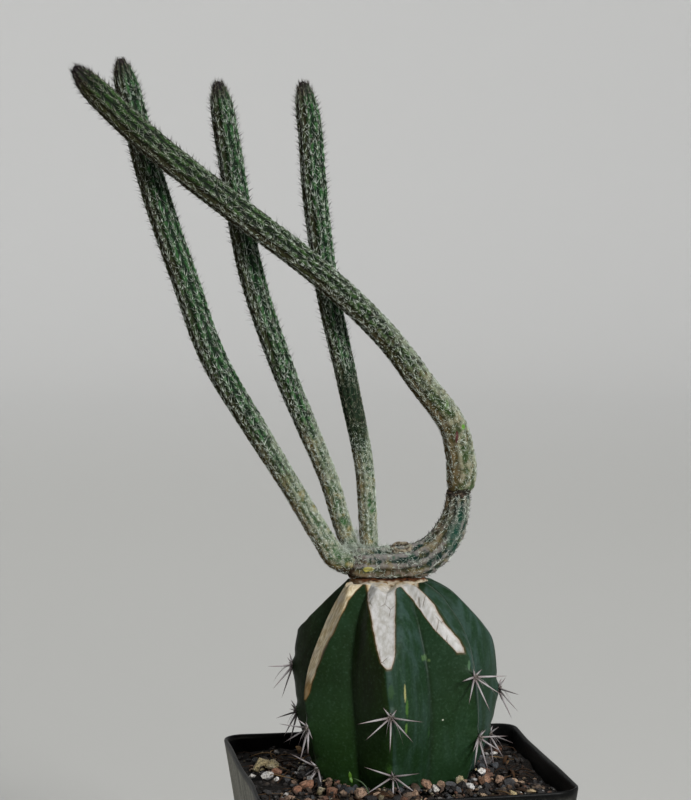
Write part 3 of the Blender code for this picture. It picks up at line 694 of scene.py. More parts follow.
class Strands:
    """Fine tapered strands gathered for one piece, each along a few points to its tip."""

    def __init__(self, sides=3, flat=1.0):
        self.sides = sides
        self.flat = flat
        self.rows = []

    def add(self, paths, widths, tones, facing):
        """Adds many strands: widths are their radii at all points but the tip, tones their colours."""
        count, places = paths.shape[:2]
        along = unit(np.gradient(paths, axis=1))
        side = unit(np.cross(along, facing[:, None] + 0.011))
        over = np.cross(along, side) * self.flat
        widths = np.broadcast_to(widths, (count, places - 1))
        rings = []
        for place in range(places - 1):
            for step in range(self.sides):
                angle = math.tau * step / self.sides
                spoke = side[:, place] * math.cos(angle) + over[:, place] * math.sin(angle)
                rings.append(paths[:, place] + spoke * widths[:, place, None])
        rings.append(paths[:, -1])
        self.rows.append((np.stack(rings, 1), np.broadcast_to(tones, count)))

    def add_one(self, path, widths, tone, facing):
        """Adds one strand."""
        self.add(path[None], widths, tone, np.array([facing], float))

    def piece(self, name, finish, slot):
        """Makes them one piece, held inside the solids' box."""
        points = in_part(np.concatenate([row[0] for row in self.rows]))
        points = np.clip(points, np.array(cad_low) / MM, np.array(cad_high) / MM)
        tones = np.clip(np.concatenate([row[1] for row in self.rows]), 0, 1)
        count, each = points.shape[:2]
        sides = self.sides
        rings = (each - 1) // sides
        pattern = [tuple(range(sides - 1, -1, -1))]
        shares = [[(step / sides, 0.0) for step in range(sides - 1, -1, -1)]]
        for ring in range(rings):
            low = ring * sides
            near, far = ring / rings, (ring + 1) / rings
            for step in range(sides):
                following = (step + 1) % sides
                left, right = step / sides, (step + 1) / sides
                if ring == rings - 1:
                    pattern.append((low + step, low + following, low + sides))
                    shares.append([(left, near), (right, near), ((left + right) / 2, far)])
                else:
                    upper = low + sides
                    pattern.append((low + step, low + following, upper + following, upper + step))
                    shares.append([(left, near), (right, near), (right, far), (left, far)])
        faces = repeated(pattern, count, each)
        flat = np.array([spot for face in shares for spot in face])
        corners = np.empty((count, len(flat), 2))
        corners[:, :, 0] = tones[:, None] * (1 - TONE_STRIP) + flat[None, :, 0] * TONE_STRIP
        corners[:, :, 1] = 0.01 + 0.72 * flat[None, :, 1]
        reach = np.tile([ring / rings for ring in range(rings) for _ in range(sides)] + [1.0], count)
        values = {"tone": np.repeat(tones, each), "reach": reach}
        add_piece(name, points.reshape(-1, 3), faces, finish, (), values, corners.reshape(-1, 2))


def add_bristles(node, stem, spots, finish, slot, density=1.0, bare=(0, 0), dusk=0.0):
    """Each areole's flat fan of pale bristles, the dark ones that stand off it, and wool on old stem.

    Few grow between the two runs of the bare stretch, and dusk is how much darker they get to the tip."""
    strands = Strands()
    runs, turns = spots

    def thinned(run):
        """1 in the bare stretch, falling to 0 at its ends."""
        return np.clip(np.minimum(run - bare[0], bare[1] - run) / 7, 0, 1)

    def grown(run):
        """The share of bristles that grow at a run."""
        return density * (1 - 0.25 * thinned(run))

    def near_areoles(kept, shift, swing):
        """How many areoles are kept, and the runs and turns of roots beside them."""
        some = kept.sum()
        shifts = draw.uniform(-shift, shift, some)
        return some, runs[kept] + shifts, turns[kept] + draw.normal(0, swing, some)

    def lay(run, turn, bearing, length, lift, stand, width, tones):
        """Lays bristles from spots on the skin, each between hugging it, at 0, and standing off it."""
        roots = stem.surface(run, turn, 0.02)
        around = math.tau * np.maximum(stem.thickness(run), 1.2)
        end_run = np.clip(run + np.cos(bearing) * length, 0, stem.total)
        hugging = stem.surface(end_run, turn + np.sin(bearing) * length / around, lift)
        along = stem.read(stem.along, run) * np.cos(bearing)[:, None]
        flat = along + stem.aside(run, turn) * np.sin(bearing)[:, None]
        facing = stem.facing(run, turn)
        lean = draw.uniform(0.6, 1.3, len(run))
        way = flat * np.cos(lean)[:, None] + facing * np.sin(lean)[:, None]
        tuft = unit(stem.middles[-1] + stem.along[-1] * 2.5 - roots)
        gather = np.clip(1 - (stem.total - run) / 4, 0, 1)[:, None] * 0.75 * (stem.tip_length > 0)
        standing = roots + unit(way + (tuft - way) * gather) * length[:, None]
        tips = hugging + (standing - hugging) * stand[:, None]
        strands.add(np.stack([roots, tips], 1), width[:, None], tones, facing)

    for bearing, length, share in BRISTLE_FAN:
        kept = draw.random(len(runs)) < share * grown(runs) * (1 - 0.45 * stem.bud(runs))
        some, run, turn = near_areoles(kept, 0.2, 0.007)
        near_tip = stem.bud(run)
        old = stem.age(run)
        bearings = np.radians(bearing * (1 - 0.5 * near_tip)) + draw.normal(0, 0.2, some) * (1 + 2.5 * old)
        dark = draw.random(some)
        tones = 0.12 * dark + 0.6 * (dark > 0.8) * draw.random(some)
        tones += near_tip * draw.uniform(0.4, 0.9, some)
        tones = tones + dusk * np.clip(run / stem.total * 2 - 1, 0, 1) + 0.34 * thinned(run)
        widths = BRISTLE_RADIUS * draw.uniform(0.7, 1.2, some) * (1 - 0.45 * near_tip)
        lengths = length * draw.uniform(0.7, 1.15, some) * (1 - 0.35 * near_tip) * (1 - 0.45 * old)
        lay(run, turn, bearings, lengths, draw.uniform(0.08, 0.3, some), near_tip * 0.8, widths, tones)
    for share in SPIKE_SHARES:
        kept = draw.random(len(runs)) < share * np.clip(1.15 - (stem.total - runs) / SPIKE_REACH, 0, 1)
        some, run, turn = near_areoles(kept, 0.3, 0.01)
        stand = draw.uniform(0.75, 1.0, some)
        tones = draw.uniform(0.65, 1.0, some)
        lengths = draw.uniform(*SPIKE_LENGTH, some) * (1.0 if stem.tip_length else 0.55)
        widths = np.full(some, SPIKE_RADIUS)
        lay(run, turn, draw.normal(0, 0.5, some), lengths, lengths * 0.4, stand, widths, tones)
    some = int(OLD_HAIRS * math.tau * stem.radii.mean() * stem.total)
    run = draw.uniform(0, stem.total, some)
    run = run[draw.random(some) < stem.age(run) * 1.1 * grown(run)]
    some = len(run)
    bearings = draw.normal(0, 1.2, some) + math.pi * (draw.random(some) < 0.3)
    lengths = draw.uniform(*HAIR_LENGTH, some)
    tones = draw.random(some) ** 2 * 0.5 + 0.34 * thinned(run)
    lifts = draw.uniform(0.06, 0.3, some)
    stand = draw.random(some) ** 3 * 0.35
    lay(run, draw.random(some), bearings, lengths, lifts, stand, draw.uniform(*HAIR_RADIUS, some), tones)
    strands.piece(node + "_bristles", finish, slot)


def stem_finish(name, young, deep, old_crest, old_valley, ochre, marks=(), mottling=2.4, ribbing=0.45):
    """Green ribbed skin that turns to mottled cork as it ages, with brown painted shade where it faces left
    and down, away from the light, a pale painted highlight where it faces right and up, and with marks,
    each a spot's centre, size, colour and strength."""
    skin = Finish(name, Specular_IOR_Level=0.12)
    age = skin.attribute("age")
    crest = skin.attribute("crest")
    mottle = skin.cloud(1.5, 4.0)
    patch = skin.cloud(8.0, 2.0)
    fleck = skin.cloud(3.2, 3.0)
    green = skin.mix(mottle.between(0.38, 0.62), deep, young)
    green = skin.mix(crest.between(0.1, 0.7), deep, green)
    ridge = (crest - 0.5) * ribbing + 0.5
    bark = skin.layers(
        old_valley,
        ((ridge + (mottle - 0.5) * mottling).between(0.2, 0.8), old_crest),
        (fleck.between(0.53, 0.68) * 0.55, ochre),
        (fleck.between(0.46, 0.34) * 0.7, young),
    )
    worn = (age + (patch - 0.5) * 0.6 + (fleck - 0.5) * 0.4).between(0.25, 0.85)
    shaded = skin.attribute("shaded")
    # Painted shade: brown where the skin faces left and down, away from the light.
    painted_shade_brown = (shaded + patch * 0.6 + (mottle - 0.5) * 0.5 - 0.2).between(0.1, 0.9)
    # Painted highlight: paler where old skin faces right and up, towards the light.
    painted_highlight_pale = shaded.between(-0.2, -0.85) * age.between(0.02, 0.45) * mottle.between(0.3, 0.6)
    colour = skin.layers(
        green,
        (worn, bark),
        (painted_shade_brown * 0.85, skin.mix(worn, (38, 32, 12), (84, 64, 34))),
        (painted_highlight_pale * 0.6, (148, 156, 138)),
        (skin.attribute("bud").between(0.2, 1.0) * 0.75, (46, 36, 42)),
        (skin.attribute("wool").between(0.5, 1.0) * 0.5, (150, 150, 136)),
    )
    for centre, size, tint, strength in marks:
        ragged = (skin.spot(centre, size) + (mottle - 0.5) * 1.6).between(0.3, 0.75)
        colour = skin.mix(ragged * strength, colour, tint)
    skin.colour(colour)
    skin.roughness(0.6 + worn * 0.28)
    skin.bump(skin.cloud(0.45, 3.0) + mottle, 0.22, 0.9)
    return skin


def bristle_finish():
    """Bristles from white through straw and brown to black, a little darker at their tips."""
    hair = Finish("bristle", Roughness=0.6, Specular_IOR_Level=0.15)
    tone = hair.attribute("tone") + (hair.attribute("reach") - 0.5) * 0.08
    hair.colour(hair.ramp(tone, (0.0, (212, 221, 210)), (0.2, (166, 176, 160)), (0.45, (108, 104, 82)),
                          (0.7, (48, 38, 36)), (1.0, (20, 14, 20))))
    return hair


def add_wool(hair):
    """Curly whitish hairs at the feet of the shoots."""
    strands = Strands()
    steps = np.linspace(0, 1, 5)[None, :, None]
    for centre, half, count, length in FOOT_WOOL:
        spots = np.array(centre) + random_directions(count) * np.array(half) * draw.random((count, 1)) ** 0.4
        heading = random_directions(count)
        curl = random_directions(count)
        swirl = np.sin(steps * draw.uniform(2, 5, (count, 1, 1)))
        paths = spots[:, None] + heading[:, None] * steps * length + curl[:, None] * swirl * length * 0.3
        strands.add(paths, (0.05, 0.048, 0.042, 0.03), draw.uniform(0, 0.3, count), curl)
    strands.piece("foot_wool", hair, "old_stem")


def dress_stems():
    """The old stem and the four shoots."""
    hair = bristle_finish()
    # Partly the pinch's own dark scaly bark, partly painted shade in the crease where the stem is pinched.
    ring = ((16.6, -2.5, 69.5), (5, 5, 1.7), (34, 27, 25), 0.9)
    # Painted shade: dark brown in the crease under the old stem's left end, where it sits on the stock.
    foot = ((-12.6, -3.0, 49.2), (3.8, 5, 3.2), (42, 29, 16), 0.9)
    green_marks = (foot, ((-10.4, 0.0, 91.0), (8, 8, 17.0), (12, 30, 15), 0.85))
    olive_marks = (
        ring,
        ((15.2, -4.5, 84.4), (0.7, 3, 3.0), (72, 26, 34), 0.9),
        ((17.0, -4.5, 86.6), (0.9, 3, 0.9), (78, 130, 28), 0.85),
        ((12.4, -4.5, 92.1), (1.3, 3, 2.2), (70, 108, 24), 0.65),
    )
    bark_marks = (
        ring,
        foot,
        ((-6.9, -4.5, 50.2), (2.4, 3, 1.2), (180, 174, 92), 0.85),
        ((15.0, -3.5, 58.0), (3.2, 5, 6.5), (22, 68, 54), 0.6),
        ((-9.5, -4.5, 52.5), (3.4, 4, 2.4), (66, 50, 42), 0.55),
    )
    green = stem_finish("stem_green", (44, 84, 44), (9, 25, 11), (134, 138, 120), (54, 72, 46),
                        (140, 122, 70), green_marks)
    olive = stem_finish("stem_olive", (42, 69, 28), (9, 19, 7), (132, 130, 108), (58, 64, 40),
                        (118, 96, 50), olive_marks)
    bark = stem_finish("old_stem", (25, 70, 52), (9, 30, 22), (116, 113, 110), (22, 43, 38),
                       (116, 104, 66), bark_marks, 2.6, 1.0)
    shoots = (
        ("stem_arching", ARCHING_ROUTE, ARCH_AGEING, olive, 1.5, (0, 0), 0.3),
        ("stem_left", LEFT_ROUTE, SHOOT_AGEING, green, 5.0, (0, 0), 0.0),
        ("stem_middle", MIDDLE_ROUTE, SHOOT_AGEING, green, 5.0, (0, 0), 0.0),
        ("stem_right", RIGHT_ROUTE, SHOOT_AGEING, green, 5.0, (29, 50), 0.0),
    )
    for node, route, ageing, finish, first_run, bare, dusk in shoots:
        stem = Stem(route, ageing)
        spots = stem.areoles(first_run)
        add_skin(node, stem, spots, finish)
        add_bristles(node, stem, spots, hair, "stem", 1.0, bare, dusk)
    base = Stem(BASE_ROUTE, BASE_AGEING, 1.0, BASE_RIB_DEPTH, BASE_END_LENGTH, 0.0)
    spots = base.areoles(0.8)
    add_skin("scion_base", base, spots, bark, 0.2)
    add_bristles("scion_base", base, spots, hair, "old_stem", 0.7)
    add_wool(hair)


def smooth_radii(profile, heights):
    """Radii at the heights, from a table whose corners are rounded off."""
    rows = np.array(profile)
    rows = np.vstack([rows[0] * 2 - rows[1], rows, rows[-1] * 2 - rows[-2]])
    grid = np.arange(rows[0, 0], rows[-1, 0], 0.5)
    window = np.hanning(13)
    radii = np.convolve(np.interp(grid, rows[:, 0], rows[:, 1]), window / window.sum(), "valid")
    return np.interp(heights, grid[6:-6], radii)


def plan(turn):
    """The level direction at a turn round the stock, in radians from the viewer's side."""
    return np.stack([np.sin(turn), -np.cos(turn)], -1)


def stock_twist(heights):
    """How far the ribs have turned at each height."""
    return STOCK_TWIST * np.clip((heights - STOCK_TWIST_START) / (STOCK_TOP - STOCK_TWIST_START), 0, None)


def own_turn(more, heights):
    """How far a rib that turns by some degrees more than the others has done so at each height."""
    return np.radians(more) * np.clip((heights - 9) / 17, 0, 1)


def crest_swell(swell, swell_height, heights):
    """How far a rib's crest swells out at each height."""
    return swell * np.exp(-((heights - swell_height) / CREST_SWELL_REACH) ** 2)


def front_scars(spots):
    """How far points of the stock lie inside the scars in front, below 0 outside them."""
    across, height = spots[..., 0], spots[..., 2]
    inside = np.full(height.shape, -9.0)
    for edges in SCAR_EDGES:
        rows = np.array(edges)
        left = np.interp(height, rows[:, 0], rows[:, 1])
        right = np.interp(height, rows[:, 0], rows[:, 2])
        scar = np.minimum(np.minimum(across - left, right - across), (height - rows[0, 0]) * 0.8)
        inside = np.maximum(inside, scar)
    return inside


def cut_stock(level, heights, own):
    """The ribbed globe's points after the knife and how far each lies inside a scar, from its levels and
    the rib that each column belongs to."""
    foot, end, top, bulge = (RIB_TABLE[own, place] for place in (1, 2, 3, 4))
    slope = np.hypot(end - top, STOCK_TOP - foot)
    knife = plan(np.radians(RIB_TABLE[own, 0] + RIB_TABLE[own, 9]) + stock_twist((STOCK_TOP + foot) / 2))
    run = (level * knife).sum(-1) - top
    beyond = (run * (STOCK_TOP - foot) + (heights - STOCK_TOP) * (end - top)) / slope
    down = np.clip((heights - foot) / (STOCK_TOP - foot), 0, 1)
    beyond = beyond - bulge * 4 * down * (1 - down)
    beside = CUT_HALF_WIDTH - np.abs((level * np.stack([-knife[..., 1], knife[..., 0]], -1)).sum(-1))
    rise = ((end - top) / slope)[:, None]
    normal = np.concatenate([knife * ((STOCK_TOP - foot) / slope)[:, None], rise], -1)
    spots = np.concatenate([level, np.broadcast_to(heights[..., None], (*level.shape[:2], 1))], -1)
    spots = spots - normal * (0.5 * (beyond + np.hypot(beyond, CUT_EDGE)))[..., None]
    front = np.minimum(front_scars(spots), np.maximum(beyond + 4.0, heights - 42))
    in_front = spots[..., 1] < np.where(spots[..., 0] < 0, -1, 5)
    cut = np.where(in_front, front, np.minimum(beyond, beside)) + 0.25 * lumps(spots, 2.6, 3)
    move = CUT_LIP * np.exp(-((cut + 0.3) / 0.35) ** 2) - CUT_SINK * np.clip(cut, 0, 1)
    return spots + normal * move[..., None], cut


def dress_stock():
    """The ribbed globe: flanks that bulge a little, worn crests, swellings at the areoles, and knife
    cuts with a healed lip."""
    levels = np.concatenate([np.linspace(STOCK_FOOT, -8, 9), np.linspace(-7.5, STOCK_TOP, 165)])
    heights = levels[:, None]
    columns = np.arange(len(RIBS) * STOCK_STEPS_PER_RIB)
    share = columns % STOCK_STEPS_PER_RIB / STOCK_STEPS_PER_RIB
    rib = columns // STOCK_STEPS_PER_RIB
    following = (rib + 1) % len(RIBS)
    own = np.where(share <= 0.5, rib, following)
    start = np.radians(RIB_TABLE[rib, 0])
    sector = np.radians((RIB_TABLE[following, 0] - RIB_TABLE[rib, 0]) % 360)
    twist = stock_twist(heights)
    crest_turn = np.where(share <= 0.5, start, start + sector) + twist
    crest_way = plan(crest_turn + own_turn(RIB_TABLE[own, 6], heights))
    fuller = crest_swell(RIB_TABLE[own, 7], RIB_TABLE[own, 8], heights)
    crests = crest_way * (smooth_radii(STOCK_CREST, heights) + fuller)[..., None]
    valleys = plan(start + sector / 2 + twist) * smooth_radii(STOCK_VALLEY, heights)[..., None]
    reach = valleys - crests
    facing = unit(np.stack([reach[..., 1], -reach[..., 0]], -1))
    facing = facing * np.sign((facing * crests).sum(-1, keepdims=True))
    flank = 1 - np.abs(1 - 2 * share)
    from_crest = flank * np.linalg.norm(reach, axis=-1)
    swell = STOCK_FLANK_BULGE * np.sin(math.pi * flank) * np.clip((STOCK_TOP - heights) / 12, 0, 1)
    worn = STOCK_CREST_ROUND * np.exp(-(from_crest / 0.9) ** 2)
    for index, row in enumerate(RIBS):
        for level in row[10]:
            mound = np.exp(-((heights - level) / 2.4) ** 2 - (from_crest / 2.6) ** 2)
            notch = np.exp(-((heights - level - 2.6) / 1.2) ** 2 - (from_crest / 2.2) ** 2)
            worn = worn + (NOTCH_DEPTH * notch - MOUND_RISE * mound) * (own == index)
    level = crests + reach * flank[:, None] + facing * swell[..., None] - crest_way * worn[..., None]
    spots, cut = cut_stock(level, heights, own)
    out = np.concatenate([facing, np.zeros((*facing.shape[:2], 1))], -1)
    spots = spots + out * (0.28 * lumps(spots, 8, 4) + 0.05 * lumps(spots, 1.8, 5))[..., None]
    rounding = np.clip((heights - STOCK_SHOULDER) / (STOCK_TOP - STOCK_SHOULDER), 0, 1) ** 2
    spots[..., 0] *= 1 - 0.17 * rounding * (spots[..., 0] > 0)
    top = np.array([0, 0, STOCK_TOP + 0.3])
    inward = np.arange(1, STOCK_TOP_RINGS + 1)[:, None, None] / (STOCK_TOP_RINGS + 1)
    inner = spots[-1] + (top - spots[-1]) * inward
    inner[..., 2] += 0.3 * lumps(inner, 2.4, 24)
    shape = inner.shape[:2]
    values = {
        "cut": np.vstack([np.clip(cut, -3, 3), np.clip(5.8 - inner[..., 0], -3, 3)]),
        "brown": np.vstack([np.broadcast_to(RIB_TABLE[own, 5], cut.shape), np.full(shape, 0.45)]),
        "flank": np.vstack([np.broadcast_to(flank, cut.shape), np.zeros(shape)]),
        # Which way each flank faces across: the finish paints light on flanks that face right and shade on
        # those that face left.
        "sunny": np.vstack([facing[..., 0], np.zeros(shape)]),
    }
    rings = in_part(np.concatenate([spots, inner]))
    ends = in_part([(0, 0, STOCK_FOOT), top])
    add_shell("rootstock_skin", rings, ends, stock_finish(), ["rootstock"], values)


def stock_finish():
    """Dark green waxy skin, painted a lighter bluish green on the flanks that face right, towards the light,
    and painted shade on those that face left, with cream cork where it was cut.
    """
    skin = Finish("stock_skin", Specular_IOR_Level=0.1)
    cut = skin.attribute("cut")
    brown = skin.attribute("brown")
    flank = skin.attribute("flank")
    sunny = skin.attribute("sunny")
    height = skin.along(2)
    streak = skin.cloud(2.4, 3.0, (1, 1, 0.16))
    broad = skin.cloud(10, 2.0, (1, 1, 0.6))
    fine = skin.cloud(0.7, 3.0)
    # Painted light and shade by which way a flank faces: dark shade on the left-facing flanks, a lighter
    # bluish green on the right-facing ones.
    lit = sunny + (broad - 0.5) * 0.8 + (streak - 0.5) * 0.5
    shade = skin.mix(streak.between(0.35, 0.7), (18, 27, 5), (26, 39, 11))
    plain = skin.mix(broad.between(0.35, 0.65), (20, 40, 18), (29, 50, 31))
    painted_lit_green = skin.mix(streak.between(0.38, 0.66), (28, 50, 34), (48, 68, 62))
    green = skin.layers(
        shade,
        (lit.between(-0.95, 0.0), plain),
        ((lit + (height - 95) * 0.01).between(0.1, 1.0) * 0.85, painted_lit_green),
        # Painted light: a lighter green on the low flanks that face away from the light.
        (height.between(104, 82) * sunny.between(0.5, -0.1) * 0.5, (32, 58, 24)),
        # Painted shade: darker along the valleys between the ribs.
        (flank.between(0.88, 1.0) * 0.5, (18, 30, 12)),
        (fine.between(0.48, 0.24) * 0.35, (14, 26, 8)),
        (fine.between(0.5, 0.8) * 0.13, (88, 116, 96)),
    )
    for centre, size, colour, strength in STOCK_MARKS:
        spot = skin.spot(centre, size)
        ragged = (spot + (fine - 0.5) * 2.0).between(0.2, 0.8) * spot
        green = skin.mix(ragged * strength, green, colour)
    grain = skin.cloud(1.0, 4.0, (1, 1, 0.22))
    stain = skin.cloud(4.5, 3.0)
    aged = (brown + (stain - 0.5) * 0.9 + (grain - 0.5) * 0.4).between(0.25, 0.9)
    crack = skin.cracks(2.8, (1, 1, 0.2)).between(0.035, 0.0) * stain.between(0.48, 0.62)
    ochre = (stain + (height - 121.5) * 0.1).between(0.45, 0.75) * grain.between(0.4, 0.6)
    cork = skin.layers(
        skin.mix(grain.between(0.3, 0.7), (156, 154, 148), (182, 181, 180)),
        (aged, skin.mix(grain.between(0.35, 0.65), (186, 164, 122), (222, 210, 180))),
        (crack * 0.6, (92, 74, 54)),
        (ochre * 0.8, (150, 118, 62)),
        (skin.spot((-22.5, -12.0, 20.5), (3, 8, 5.5)) * 0.8, (112, 86, 44)),
        (cut.between(0.55, 0.0) * (0.4 + 0.45 * brown), (126, 92, 50)),
    )
    mask = (cut + (fine - 0.5) * 0.25).between(-0.06, 0.08)
    skin.colour(skin.layers(green, (cut.between(-0.5, -0.1) * 0.6, (70, 54, 26)), (mask, cork)))
    skin.roughness(0.42 + mask * 0.45 + (streak - 0.5) * 0.2)
    skin.bump(grain * mask + fine * 0.25 * (1 - mask) - crack * mask, 0.2, 0.7)
    return skin


def oval_loop(half_across, half_away, columns, straight=0.0):
    """Points of an oval in the level plane, its two halves drawn apart by a straight stretch."""
    turn = np.arange(columns) / columns * math.tau
    across = np.cos(turn) * half_across + np.tanh(np.cos(turn) * 6) * straight
    return np.stack([across, np.sin(turn) * half_away, np.zeros(columns)], -1)


def rough_finish(name, specular, size, relief, stretch=(1, 1, 1)):
    """A corky finish in the making, and the grain that its colours follow."""
    finish = Finish(name, Specular_IOR_Level=specular)
    grain = finish.cloud(size, 4.0, stretch)
    finish.roughness(0.85 + (grain - 0.5) * 0.2)
    finish.bump(grain, relief, 0.9)
    return finish, grain


def dress_callus():
    """Tissue grown over the join of stock and scion."""
    tissue, grain = rough_finish("graft_tissue", 0.12, 1.2, 0.3)
    near = tissue.attribute("near") + (tissue.cloud(3.4, 3.0) - 0.5) * 1.1
    tissue.colour(tissue.layers(
        tissue.mix(grain.between(0.35, 0.62), (112, 82, 44), (176, 166, 146)),
        (near.between(0.25, 0.6), tissue.mix(grain.between(0.35, 0.65), (40, 22, 14), (104, 64, 38))),
        # Painted shade: dark brown under the old stem's left end, in the crease where it sits on the callus.
        (tissue.spot((-12.0, -2.0, 47.0), (5.5, 12, 4)) * 0.85, (58, 38, 18)),
    ))
    outer = oval_loop(6.4, 6.0, CALLUS_COLUMNS, 3.6)
    inner = oval_loop(4.0, 2.2, CALLUS_COLUMNS, 5.0)
    shares = np.linspace(0, 1, CALLUS_RINGS)[:, None]
    rings = outer + (inner - outer) * shares[..., None]
    rings[..., 2] = STOCK_TOP - 0.5 + 1.3 * np.sin(shares * math.pi / 2)
    rings = rings + np.array((CALLUS_ACROSS, 0, 0))
    rings[1:-1, :, 2] += 0.35 * lumps(rings[1:-1], 1.9, 6) + 0.15 * lumps(rings[1:-1], 0.8, 7)
    rings[..., :2] *= 1 + 0.08 * lumps(rings, 2.2, 8)[..., None]
    ends = [(CALLUS_ACROSS, 0, STOCK_TOP - 0.8), (CALLUS_ACROSS, 0, STOCK_TOP + 0.8)]
    values = {"near": np.broadcast_to(shares, rings.shape[:2])}
    add_shell("graft_callus", in_part(rings), in_part(ends), tissue, (), values)


def dress_pinch():
    """The pinched ring where the arching shoot starts."""
    pinch, grain = rough_finish("pinched_ring", 0.2, 0.8, 0.3, (1, 1, 2.2))
    coats = ((grain.between(0.35, 0.6), (78, 66, 54)), (grain.between(0.58, 0.7), (140, 132, 112)))
    pinch.colour(pinch.layers((26, 21, 18), *coats))
    shares = np.linspace(0, 1, PINCH_RINGS)[:, None]
    rings = oval_loop(1, 1, PINCH_COLUMNS) * (2.3 + 0.6 * np.sin(math.pi * shares) ** 0.6)[..., None]
    rings[..., 2] = (shares - 0.5) * PINCH_HEIGHT
    rings[..., :2] *= 1 + (0.16 * lumps(rings, 1.2, 9) + 0.09 * lumps(rings, 0.5, 10))[..., None]
    rings[..., 2] += 0.7 * lumps(rings * (1, 1, 0), 1.5, 11)
    rings = rings + np.array((16.1, -0.02, 69.45))
    add_shell("pinched_ring", in_part(rings), in_part([(16.1, 0, 68.2), (16.1, 0, 70.7)]), pinch)


def dress_shoot_scar():
    """The scar of a cut shoot on the old stem."""
    scar, grain = rough_finish("shoot_scar", 0.2, 0.8, 0.35)
    depth = scar.attribute("depth") + (grain - 0.5) * 0.6
    rim = scar.mix(grain.between(0.4, 0.62), (66, 56, 44), (138, 130, 112))
    scar.colour(scar.mix(depth.between(0.15, 0.55), rim, (18, 13, 10)))
    shares = np.linspace(0, 1, SCAR_RINGS)[:, None]
    rings = oval_loop(3.3, 2.5, SCAR_COLUMNS) * (1 - shares)[..., None]
    wall = np.sin(math.pi * np.clip(shares * 1.55, 0, 1)) ** 0.8
    rings[..., 2] = -1.1 + 1.75 * wall - 0.9 * np.clip(shares - 0.4, 0, None)
    rings[..., 2] += 0.55 * lumps(rings, 1.5, 12)
    rings[..., :2] *= 1 + 0.12 * lumps(rings, 1.7, 13)[..., None]
    lean = np.array(Euler((math.radians(24), math.radians(4), 0)).to_matrix())
    rings = rings @ lean.T + np.array((1.7, -1.0, 55.5))
    ends = [rings[0].mean(0) - (0, 0, 0.4), rings[-1].mean(0)]
    depths = np.interp(shares, (0.42, 0.62, 1.0), (0, 1, 0.85))
    values = {"depth": np.broadcast_to(depths, rings.shape[:2])}
    add_shell("shoot_scar", in_part(rings), in_part(ends), scar, (), values)


def areole_frame(row, level):
    """An areole's seat on its rib, and the ways east, up and away from the skin there."""
    turn = math.radians(row[0]) + float(stock_twist(level) + own_turn(row[6], level))
    outward = np.array((math.sin(turn), -math.cos(turn), 0))
    east = np.array((math.cos(turn), math.sin(turn), 0))
    below, radius, above = smooth_radii(STOCK_CREST, np.array((level - 2, level, level + 2)))
    radius += crest_swell(row[7], row[8], level)
    up = unit(outward * (above - below) + np.array((0, 0, 4.0)))
    return outward * (radius + 0.1) + np.array((0, 0, level)), east, up, np.cross(east, up)


def add_star(spines, star, seat, east, up, normal):
    """The spines of one areole, each raised until its tip clears the soil."""
    for direction, share in star:
        bearing = math.radians(direction + draw.uniform(-6, 6))
        length = SPINE_LENGTH * share * draw.uniform(1.0, 1.1) - SPINE_SPREAD * 0.5
        along = east * math.cos(bearing) + up * math.sin(bearing)
        rise = SPINE_STAND_OFF + draw.uniform(-0.08, 0.08)
        axis = along * math.cos(rise) + normal * math.sin(rise)
        while seat[2] + axis[2] * length < SPINE_FLOOR and rise < math.radians(85):
            rise += math.radians(3)
            axis = along * math.cos(rise) + normal * math.sin(rise)
        root = seat + along * SPINE_SPREAD * 0.6 - axis * 0.4
        bend = np.cross(axis, random_directions(1)[0]) * draw.uniform(0, 0.45)
        path = root + axis * SPINE_STEPS * (length + 0.4) + bend * SPINE_STEPS ** 2
        width = SPINE_RADIUS * draw.uniform(0.75, 1.0) * SPINE_TAPER
        spines.add_one(path, width, draw.uniform(0, 0.5), normal)


def dress_spines():
    """Every areole's woolly pad, its star of spines and a few long soft hairs."""
    horn = Finish("spine", Roughness=0.55, Specular_IOR_Level=0.4)
    grey = horn.ramp(horn.attribute("reach"), (0.0, (66, 52, 50)), (0.12, (122, 112, 112)),
                     (0.45, (166, 162, 164)), (0.8, (132, 120, 120)), (1.0, (60, 46, 44)))
    horn.colour(horn.mix(horn.attribute("tone") * 0.5, grey, (72, 56, 50)))
    down = Finish("areole_wool", Roughness=0.9, Specular_IOR_Level=0.1)
    down.colour(down.mix(down.attribute("tone"), (64, 54, 48), (158, 150, 142)))
    spines = Strands(8)
    hairs = Strands(4)
    wool = Strands(3)
    for row, level in [(row, level) for row in RIBS for level in row[10]]:
        seat, east, up, normal = areole_frame(row, level)
        add_star(spines, LOW_SPINE_STAR if level < 4 else SPINE_STAR, seat, east, up, normal)
        for _ in range(2):
            side = east * draw.uniform(-0.6, 0.6) + normal * draw.uniform(0.6, 1.1)
            hang = (side * SPINE_STEPS - np.array((0, 0, 1.0)) * SPINE_STEPS ** 2) * 0.75
            path = seat + hang * draw.uniform(4, 8)
            path[:, 2] = np.maximum(path[:, 2], SPINE_FLOOR - 1.5)
            hairs.add_one(path, 0.07 * SPINE_TAPER, draw.uniform(0.3, 1), east)
        bed = random_directions(PAD_HAIRS) * (east + up * 1.1 + normal * 0.5)
        bed = seat + bed * draw.random((PAD_HAIRS, 1))
        ways = unit(random_directions(PAD_HAIRS) + normal * 0.9)
        reach = draw.uniform(0.4, 1.0, (PAD_HAIRS, 1, 1)) * np.array((0, 0.5, 1))[None, :, None]
        wool.add(bed[:, None] + ways[:, None] * reach, (0.07, 0.055), draw.random(PAD_HAIRS), ways)
    spines.piece("stock_spines", horn, "stock_skin")
    hairs.piece("stock_hairs", horn, "stock_skin")
    wool.piece("areole_wool", down, "stock_skin")


